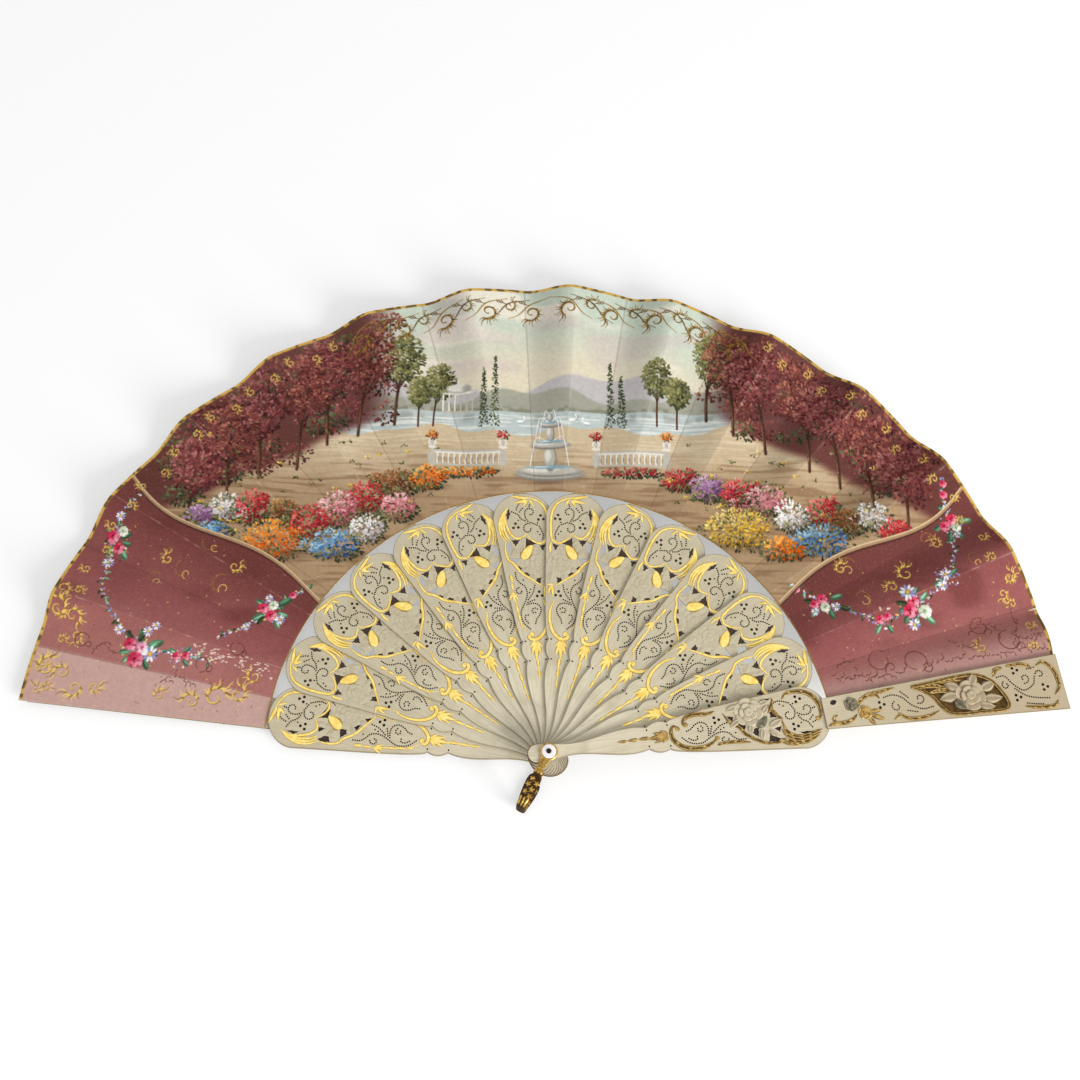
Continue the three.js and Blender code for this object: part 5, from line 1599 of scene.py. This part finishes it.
WORN_SCROLLS = [
    [(143, 41), (150, 39.5), (157, 42), (163, 41)], [(160, 38.5), (167, 41.5), (174, 42), (180, 44.5)],
    [(146, 46), (150, 49), (155, 48)], [(190, 47), (205, 51), (222, 53), (238, 56), (254, 57.5)],
    [(240, 80), (241, 70), (238, 61)], [(240, 64), (247, 62), (252, 65), (249, 68.5)],
    [(216, 66), (221, 71), (228, 71), (231, 66)], [(205, 62), (212, 58), (219, 60)],
    [(-232, 52), (-226, 56), (-221, 52)], [(-196, 36), (-188, 39), (-180, 36)],
]
WORN_CURLS = [(168, 50, 6), (186, 50, 6.4), (222, 70, 5), (236, 62, 6), (-176, 46, 4), (-158, 54, 4),
              (-238, 58, 4)]


def comma(start, turn, length, bend, width, colour):
    """A short stroke that starts full, bends to one side and runs out to nothing."""
    middle = start + np.array(turned(length / 2, turn))
    end = middle + np.array(turned(length / 2, turn + bend))
    line = smooth_line([start, middle, end], 0.4)
    for share, (x, y) in zip(np.linspace(1, 0.3, len(line)), line):
        size = max(width * share / 2, 0.3)
        dab(x, y, size, size, 0, colour, 0.95, 0.6, GILT[colour])


def rocaille(x, y, size, facing, hand, colour, dark):
    """A scroll that rolls up at one end, with a fan of tapering strokes along its back and a dark edge."""
    spine = np.asarray(curl(x, y, size, 0.2 * size, facing, 400 * hand, 26))
    brush(spine + (0.35, -0.35), 0.24 * size, dark, 0.9)
    brush(spine, 0.2 * size, colour, 0.95, GILT[colour])
    for step, start in enumerate(spine[:11]):
        outward = math.atan2(start[1] - y, start[0] - x) - 0.8 * hand
        length = size * (1.25 - 0.08 * step) * (1.0 if step % 2 else 0.65)
        comma(start, outward, length, 0.7 * hand, 0.26 * size, dark if step % 3 == 1 else colour)


BORDER_CREST = [(261, -2.6), (258, 0), (251, 1.6), (248, 3.0)]  # its radius, and its degrees from the scroll
for edge, hand in ((SCENE_EDGES_DEG[1], 1), (SCENE_EDGES_DEG[0], -1)):
    radius = np.linspace(LEAF_INNER + 1, LEAF_RADIUS - 2, 24)
    sway = SCENE_SWAY * np.sin((radius - LEAF_INNER) / SWAY_LENGTH)
    line = np.column_stack(turned(radius, np.radians(edge - hand * sway)))
    brush(line + (0, -1.6), 1.6, MOULDING_TONES[0], 0.9, thin=False)
    brush(line, 2.6, MOULDING_TONES[1], 1, thin=False)
    brush(line + (0, 0.8), 0.8, MOULDING_TONES[2], 0.9, thin=False)
for side in (-1, 1):
    for unit in range(9):
        angle = 90 + side * (2.4 + 2.75 * unit)
        big = unit % 2 == 0
        radius, size, facing, hand = (252.6, 5.0, 150, side) if big else (256.6, 3.6, -30, -side)
        rocaille(*polar_place(radius, angle), size, angle + facing, hand, OLD_GOLD, BROWN_LINE)
        crest = [polar_place(radius, angle + side * aside) for radius, aside in BORDER_CREST]
        brush(crest, 1.1, OLD_GOLD if big else BROWN_LINE, 0.9)
        for stroke in range(3):
            start = np.array(polar_place(259.6, angle + side * (0.9 + 0.3 * stroke)))
            turn = math.radians(angle + 180 + side * 40)
            comma(start, turn, 4.4 - 0.7 * stroke, 0.8 * side, 1.1, BROWN_LINE)
    for unit in range(20):
        angle = 90 + side * (27.5 + 2.9 * unit)
        odd = unit % 2
        rocaille(*polar_place(258.0 - 3 * odd, angle), 2.4, angle + 180 * odd, side, BRIGHT_GOLD, OLD_GOLD)

# Gold scrolls on the two ends, rubbed ones on the mauve, and brown ones whose gold has worn away
for x, y, size, facing, hand in END_SCROLLS:
    rocaille(x, y, size, facing, hand, BRIGHT_GOLD, OLD_GOLD)
for x, y, size, facing in RUBBED_SCROLLS:
    brush(curl(x, y, size, 0.4 * size, facing, 210, 16), 0.6, OLD_GOLD, 0.8, 0.5)
    brush(curl(x + 2, y - 2, 0.5 * size, 0.2 * size, facing + 150, -260, 12), 0.6, BRIGHT_GOLD, 0.8, 0.5)
for corners in WORN_SCROLLS:
    line = smooth_line(corners, 2.4)
    for (x, y), (right, up) in zip(line, np.gradient(line, axis=0)):
        turn, bend = math.atan2(up, right) + chance.uniform(-0.4, 0.7), chance.choice((-1.2, 1.2))
        comma(np.array((x, y + chance.normal(0, 0.6))), turn, chance.uniform(2.0, 4.4), bend, 0.85, WORN_LINE)
for x, y, size in WORN_CURLS:
    facing = chance.uniform(0, 360)
    large = curl(x, y, size, 0.7 * size, facing, 330, 22)
    small = curl(x + 0.9 * size, y - 0.6 * size, 0.5 * size, 0.2 * size, facing + 160, -320, 14)
    brush(large, 0.8, WORN_LINE, 0.9)
    brush(small, 0.8, WORN_LINE, 0.9)
for _ in range(340):
    x, y = polar_place(chance.uniform(146, 262), 90 + chance.choice((-1, 1)) * chance.uniform(58, 83.5))
    colour = (BRIGHT_GOLD, WORN_LINE, OLD_GOLD)[chance.integers(3)]
    dab(x, y, chance.uniform(0.4, 1.0), 0.36, chance.uniform(0, 3.1), colour, 0.7, 0.6, 0.4)
for _ in range(90):
    x = chance.uniform(-182, -140)
    y = 42 - 0.3 * (x + 140) + chance.normal(0, 2.2)
    dab(x, y, chance.uniform(0.4, 1.2), 0.4, chance.uniform(-0.6, 0.2), PALE_SPOT, 0.85)
tarnish = cloud(2.2, 2.2, 17)
rim_line = eased(leaf_reach, leaf_rim[None, :] - 1.9, leaf_rim[None, :] - 1.3)
wash(RIM_GOLD, rim_line)
wash(TARNISH, rim_line * 0.8 * eased(tarnish, 0.45, 0.75))
gold[:] = np.maximum(gold, rim_line * eased(tarnish, 0.8, 0.5))
inner_line = eased(leaf_reach, LEAF_INNER + 0.9, LEAF_INNER + 0.5)
wash(OLD_GOLD, inner_line * 0.7)
gold[:] = np.maximum(gold, 0.7 * inner_line)

# Wear and painted shade: faint pale worn lines along the outer creases, painted shade along the inner, rubbed
# spots, uneven paint
RUBBED_PAINT = (0.86, 0.79, 0.73)
CREASE_SHADE = (0.34, 0.22, 0.19)
BARE_SPOT = (0.85, 0.79, 0.72)
crease = np.abs(strip_place - np.round(strip_place))[None, :] * PANEL_COLUMNS
outward = (np.round(strip_place) % 2)[None, :]
rubbed = eased(crease, 1.6, 0.3) * (0.08 + 0.3 * eased(cloud(3, 3, 8), 0.4, 0.85))
wash(RUBBED_PAINT, rubbed * outward)
# Painted shade along the inner creases.
wash(CREASE_SHADE, 0.22 * eased(crease, 1.8, 0.3) * (1 - outward))
gold *= 1 - rubbed
for _ in range(360):
    x, y = polar_place(chance.uniform(LEAF_INNER, LEAF_RADIUS), chance.uniform(6, 174))
    along = chance.uniform(0.25, 0.6)
    across = along * chance.uniform(0.4, 1)
    dab(x, y, along, across, chance.uniform(0, 3), BARE_SPOT, chance.uniform(0.2, 0.6))
paint *= (0.97 + 0.06 * cloud(1.2, 1.2, 9))[:, :, None]
paint = np.clip(paint, 0, 1)


def panel_level(stick, radius, angle):
    """The underside of a panel at an angle from the middle of its stick, flat on the guards."""
    if stick in (0, LAST):
        return np.full(radius.shape, FRONT_PANEL_LEVEL if stick else BACK_PANEL_LEVEL)
    return stick_level(stick) + LEAF_SEAT + pleat_lift(stick, radius, angle)


HALF_RIM = LEAF_RADIUS * math.sin(PANEL_ANGLE / 2)


def fold_level(stick, radius, angle):
    """The underside of the free panel between a stick and its left neighbour. Its bend is such that, turned
    over when the fan closes, it lies between the two panels it joins."""
    def folded(at):
        across = radius * np.sin(at - PANEL_ANGLE)
        share = eased((HALF_RIM - across) / (2 * HALF_RIM), 0, 1)
        closed = at - 2 * PANEL_ANGLE + 2 * PANEL_ANGLE * share
        left = panel_level(stick - 1, radius, closed)
        return left + share * (panel_level(stick, radius, closed) - left)

    edge = PANEL_ANGLE / 2
    share = (angle - edge) / PANEL_ANGLE
    right_error = panel_level(stick, radius, edge) - folded(edge)
    left_error = panel_level(stick - 1, radius, -edge) - folded(3 * edge)
    return folded(angle) + right_error * (1 - share) + left_error * share


def leaf_sheet(name, x, y, under, colours, gilt):
    """One panel: the painted front as a fine grid, a plain back, and the cut edges between them."""
    rows, columns = x.shape
    picked = np.linspace(0, columns - 1, UNDER_COLUMNS + 1).astype(int)
    front = np.dstack((x, y, under + PAPER_THICKNESS)).reshape(-1, 3)
    back = np.dstack((x, y, under))[:, picked].reshape(-1, 3)
    front_at = np.arange(rows * columns).reshape(rows, columns)
    back_at = rows * columns + np.arange(len(back)).reshape(rows, len(picked))
    painted = grid_faces(rows, columns)
    plain = [*(rows * columns + grid_faces(rows, len(picked)))[:, ::-1]]
    for row in range(rows - 1):
        plain.append((front_at[row, 0], back_at[row, 0], back_at[row + 1, 0], front_at[row + 1, 0]))
        plain.append((front_at[row + 1, -1], back_at[row + 1, -1], back_at[row, -1], front_at[row, -1]))
    for part, (start, end) in enumerate(zip(picked, picked[1:])):
        plain.append([*front_at[0, start:end + 1], back_at[0, part + 1], back_at[0, part]])
        plain.append([*front_at[-1, start:end + 1][::-1], back_at[-1, part], back_at[-1, part + 1]])
    faces = [[int(corner) for corner in face] for face in (*painted, *plain)]
    finishes = [0] * len(painted) + [1] * len(plain)
    points = np.vstack((front, back))
    item = shaped(name, points, faces, finishes, [painted_paper, plain_paper], PAPER_CREASE_DEG)
    seen = np.vstack((colours.reshape(-1, 3), np.full((len(back), 3), PLAIN_TONE)))
    shown = np.column_stack((shader_values(seen), np.ones(len(seen))))
    item.data.color_attributes.new("paint", "FLOAT_COLOR", "POINT").data.foreach_set("color", shown.ravel())
    gilded = np.concatenate((gilt.ravel(), np.zeros(len(back))))
    item.data.attributes.new("gilt", "FLOAT", "POINT").data.foreach_set("value", gilded)
    return item


# The fibres of the paper, on its front and its back
paper_grain, paper_in, paper_out = new_group(
    "paper_grain", {"Vector": ("Place",)}, {"Float": ("Fibres",)})
feed(paper_grain, paper_out, {
    "Fibres": noise_at(paper_grain, paper_in["Place"], (1.0, 1.0, 1.0), 1400.0, 4.0),
})


def paper_fibres(tree):
    place = add_node(tree, "ShaderNodeTexCoord").outputs["Object"]
    return add_node(tree, "ShaderNodeGroup", {"Place": place}, node_tree=paper_grain).outputs["Fibres"]


painted_paper, tree, shader = new_material("painted_paper")
fibres = paper_fibres(tree)
seen = piece_socket(tree, "paint", "Color")
gilt_share = piece_socket(tree, "gilt", "Fac")
feed(tree, shader, {
    "Base Color": mixed(tree, ranged(tree, fibres, 0.55, 0.8, 0.0, 0.12), seen, linear(0.9, 0.84, 0.76)),
    "Metallic": ranged(tree, gilt_share, 0.2, 0.9, 0.0, 0.9),
    "Roughness": ranged(tree, gilt_share, 0.2, 0.9, 0.8, 0.5),
    "Specular IOR Level": 0.04,
})
add_bump(tree, shader, fibres, 0.2, 0.0001)

plain_paper, tree, shader = new_material("plain_paper")
fibres = paper_fibres(tree)
toned = mixed(tree, fibres, linear(0.9, 0.86, 0.76), linear(0.8, 0.73, 0.6))
feed(tree, shader, {"Base Color": toned, "Roughness": 0.8, "Specular IOR Level": 0.04})
add_bump(tree, shader, fibres, 0.3, 0.0001)


def body_of(stick):
    return {0: "back_guard", LAST: "front_guard"}.get(stick, numbered("stick", stick))


for strip in range(STRIP_COUNT):
    columns = slice(strip * PANEL_COLUMNS, (strip + 1) * PANEL_COLUMNS + 1)
    reach = leaf_reach[:, columns]
    stick = LAST - strip // 2
    glued = strip % 2 == 0
    name = numbered("leaf_panel" if glued else "leaf_fold", stick)
    from_stick = np.broadcast_to(leaf_angle[columns], reach.shape) - stick_angle(stick)
    under = panel_level(stick, reach, from_stick) if glued else fold_level(stick, reach, from_stick)
    sheet = leaf_sheet(f"{name}_paper", leaf_x[:, columns], leaf_y[:, columns], under, paint[:, columns],
                       gold[:, columns])
    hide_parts(name)
    if glued:
        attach(sheet, body_of(stick))
    else:
        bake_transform(sheet)


# The rivet and its washers
# A dark steel pin through every tail, riveted over a washer of mother-of-pearl on the front and one on the
# back. Both washers are turned, with rounded rims.

PIN_RADIUS = 1.1
PIN_HEAD_RADIUS = 1.3
PIN_LENGTH = 21.8
PIN_HEAD_HEIGHT = 0.5
WASHER_RADIUS = 3.5
WASHER_THICKNESS = 0.9
WASHER_EDGE = 0.35
REAR_WASHER_LEVEL = 0.65
FRONT_WASHER_LEVEL = 20.25
TURNED_SIDES = 64


def carve_turned(profile, closed=False):
    """A round piece on the rivet's axis, from the radius and level of each corner of its profile."""
    carving = Carving()
    rings = [at_level(circle(0, 0, radius, TURNED_SIDES), height) for radius, height in profile]
    count = len(rings) * TURNED_SIDES
    sides = grid_faces(len(rings) + closed, TURNED_SIDES, closed=True) % count
    ends = [] if closed else [range(TURNED_SIDES)[::-1], range(count)[-TURNED_SIDES:]]
    carving.add(np.vstack(rings), [*np.roll(sides[:, ::-1], 1, axis=1), *ends])
    return carving


dome_turn = np.radians((0, 20, 40, 60, 78, 88))
dome = list(zip(PIN_HEAD_RADIUS * np.cos(dome_turn), PIN_HEAD_HEIGHT * np.sin(dome_turn)))
pin_profile = [(radius, PIN_HEAD_HEIGHT - lift) for radius, lift in dome[::-1]]
pin_profile += [(PIN_RADIUS, PIN_HEAD_HEIGHT), (PIN_RADIUS, PIN_LENGTH - PIN_HEAD_HEIGHT)]
pin_profile += [(radius, PIN_LENGTH - PIN_HEAD_HEIGHT + lift) for radius, lift in dome]

dark_steel, tree, shader = new_material("dark_steel")
scratches = noise_at(tree, piece_socket(tree, "place", "Vector"), (4.0, 1.0, 1.0), 1.0, 4.0)
feed(tree, shader, {
    "Base Color": mixed(tree, scratches, linear(0.1, 0.09, 0.08), linear(0.24, 0.21, 0.18)),
    "Roughness": ranged(tree, scratches, 0.3, 0.7, 0.25, 0.5),
    "Metallic": 1.0,
})
pin = carve_turned(pin_profile).piece("rivet_pin_steel", [dark_steel])
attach(pin, "back_guard")
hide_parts("rivet_pin")

pearl, tree, shader = new_material("mother_of_pearl")
sheen = noise_at(tree, piece_socket(tree, "place", "Vector"), (0.5, 0.9, 0.5), 1.0, 3.0)
rose_sheen = mixed(tree, ranged(tree, sheen, 0.35, 0.5), linear(0.93, 0.93, 0.94), linear(0.96, 0.92, 0.93))
feed(tree, shader, {
    "Base Color": mixed(tree, ranged(tree, sheen, 0.55, 0.7), rose_sheen, linear(0.88, 0.94, 0.93)),
    "Roughness": ranged(tree, sheen, 0.3, 0.7, 0.12, 0.3),
    "Coat Weight": 0.4,
})

edge_turn = np.radians((0, 22, 45, 67, 90))
round_edge = list(zip(WASHER_EDGE * np.cos(edge_turn), WASHER_EDGE * np.sin(edge_turn)))
rim, middle = WASHER_RADIUS - WASHER_EDGE, WASHER_THICKNESS - WASHER_EDGE
washer_profile = [(BORE_RADIUS, 0.0)] + [(rim + out, WASHER_EDGE - lift) for out, lift in round_edge[::-1]]
washer_profile += [(rim + out, middle + lift) for out, lift in round_edge] + [(BORE_RADIUS, WASHER_THICKNESS)]
for name, washer_level in (("rear_washer", REAR_WASHER_LEVEL), ("front_washer", FRONT_WASHER_LEVEL)):
    washer = carve_turned(washer_profile, closed=True).piece(f"{name}_pearl", [pearl], level=washer_level)
    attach(washer, "back_guard")
    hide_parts(name)


# The bail
# A cast and gilded stirrup that swings on the rivet and takes a cord. Its two arms start in round eyes, thin
# to a neck with a bead, widen to a plate of cast leaves, and meet in a rounded end.

BAIL_ANGLE = math.radians(-117)
BAIL_LEVELS = (2.15, 19.65)  # the middles of the rear and the front arm
BAIL_LENGTH = 30.5
BAIL_EYE = 4.4
BAIL_BEND = 3.6
BAIL_OUTLINE = [(3.6, 2.6), (5.5, 2.2), (8.0, 1.7), (9.4, 1.6), (10.4, 2.2), (12.0, 2.2), (12.9, 1.9),
                (14.2, 3.1), (16.5, 3.5), (20.0, 3.4), (24.0, 3.0), (27.0, 2.5), (27.6, 2.4)]
BAIL_HALF_PLATE = 0.45
BAIL_END_HALF_PLATE = 1.3
BAIL_AROUND = 36
BAIL_FLOWER_SIZE = 1.9
BAIL_FLOWERS = [(15.4, -0.3), (17.0, 0.6), (18.6, -0.5), (20.6, 0.35), (22.6, -0.45), (24.0, 0.55)]


def cast_flowers(along, across):
    """How high the cast ornament stands, from 0 to 1: a ring of beads, flowers on the plate, a ribbed end."""
    flowers = np.zeros(np.shape(across))
    for middle, aside in BAIL_FLOWERS:
        right, up = along - middle, (across - aside) * 3.4
        petals = 0.68 + 0.32 * np.cos(5 * np.arctan2(up, right) + middle)
        reach = np.hypot(right, up) / (BAIL_FLOWER_SIZE * petals)
        flowers = np.maximum(flowers, np.clip(1 - reach ** 2, 0, 1) * (0.55 + 0.45 * eased(reach, 0.0, 0.4)))
    beads = np.exp(-((along - 11.2) / 0.8) ** 2) * (0.6 + 0.4 * np.cos(9 * across))
    ribs = (0.5 + 0.5 * np.cos(9 * across)) * eased(along, 24.8, 25.8) * eased(along, 29.0, 28.2)
    return np.clip(flowers + beads + ribs, 0, 1)


def carve_bail():
    carving = Carving()
    straight = BAIL_LENGTH - BAIL_END_HALF_PLATE - BAIL_BEND
    low, high = BAIL_LEVELS
    arm = np.linspace(BAIL_OUTLINE[0][0], straight, 60)
    bend = np.linspace(0, math.pi / 2, 12)[1:]
    along = np.concatenate((arm, straight + BAIL_BEND * np.sin(bend)))
    corner = np.concatenate((np.zeros(len(arm)), BAIL_BEND * (1 - np.cos(bend))))
    rest = np.linspace(high - BAIL_BEND, low + BAIL_BEND, 14)[1:-1]
    path_x = np.concatenate((along, np.full(len(rest), along[-1]), along[::-1]))
    path_z = np.concatenate((high - corner, rest, (low + corner)[::-1]))
    path = np.column_stack((path_x, path_z))
    heading = unit_length(np.gradient(path, axis=0))
    outward = np.column_stack((-heading[:, 1], heading[:, 0]))
    half_width = np.interp(path_x, *zip(*BAIL_OUTLINE))
    thick = np.interp(path_x, (24.0, 27.5), (BAIL_HALF_PLATE, BAIL_END_HALF_PLATE))
    turn = np.linspace(0, 2 * math.pi, BAIL_AROUND, endpoint=False)
    across = np.sign(np.cos(turn)) * np.abs(np.cos(turn)) ** 0.8
    out = np.sign(np.sin(turn)) * np.abs(np.sin(turn)) ** 0.6
    points, shades = [], []
    for place in range(len(path)):
        high_part = cast_flowers(path_x[place], across)
        bulge = out * thick[place] + np.where(out > 0, 0.4 * high_part * out - 0.15, 0)
        x = path[place, 0] + outward[place, 0] * bulge
        z = path[place, 1] + outward[place, 1] * bulge
        points.append(np.column_stack((x, across * half_width[place], z)))
        shades.append(np.clip(1 - 1.3 * high_part, 0, 1) * (0.4 + 0.6 * eased(path_x[place], 9.0, 13.0)))
    points, shades = np.vstack(points), np.concatenate(shades)
    ends = [range(BAIL_AROUND), range(len(points))[-BAIL_AROUND:][::-1]]
    faces = [*grid_faces(len(path), BAIL_AROUND, closed=True), *ends]
    carving.add(points, faces, shades)
    for level in BAIL_LEVELS:
        ring = [(BORE_RADIUS, level - BAIL_HALF_PLATE), (BAIL_EYE - 0.3, level - BAIL_HALF_PLATE),
                (BAIL_EYE, level - 0.2), (BAIL_EYE, level + 0.2), (BAIL_EYE - 0.3, level + BAIL_HALF_PLATE),
                (BORE_RADIUS, level + BAIL_HALF_PLATE)]
        carving.add_copy(carve_turned(ring, closed=True))
    return carving


cast_gilt, tree, shader = new_material("cast_gilt_brass")
patina = noise_at(tree, piece_socket(tree, "place", "Vector"), (0.8, 0.8, 0.8), 1.0, 4.0)
worn_gilt = mixed(tree, ranged(tree, patina, 0.35, 0.65), linear(0.84, 0.7, 0.38), linear(0.58, 0.42, 0.17))
hollow = piece_socket(tree, "shade", "Fac")
dirty = ranged(tree, hollow, 0.25, 0.8, 0.0, 0.95)
dulled = {0: ranged(tree, patina, 0.3, 0.7, 0.22, 0.45), 1: ranged(tree, hollow, 0.3, 0.8, 0.0, 0.85)}
feed(tree, shader, {
    "Base Color": mixed(tree, dirty, worn_gilt, linear(0.17, 0.085, 0.035)),
    "Roughness": add_node(tree, "ShaderNodeMath", dulled, operation="MAXIMUM").outputs[0],
    "Metallic": ranged(tree, hollow, 0.3, 0.8, 1.0, 0.2),
    "Specular IOR Level": 0.15,
})
add_bump(tree, shader, patina, 0.3, 0.0002)
bail = carve_bail().piece("bail_cast", [cast_gilt], BAIL_ANGLE)
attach(bail, "bail")
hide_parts("bail")
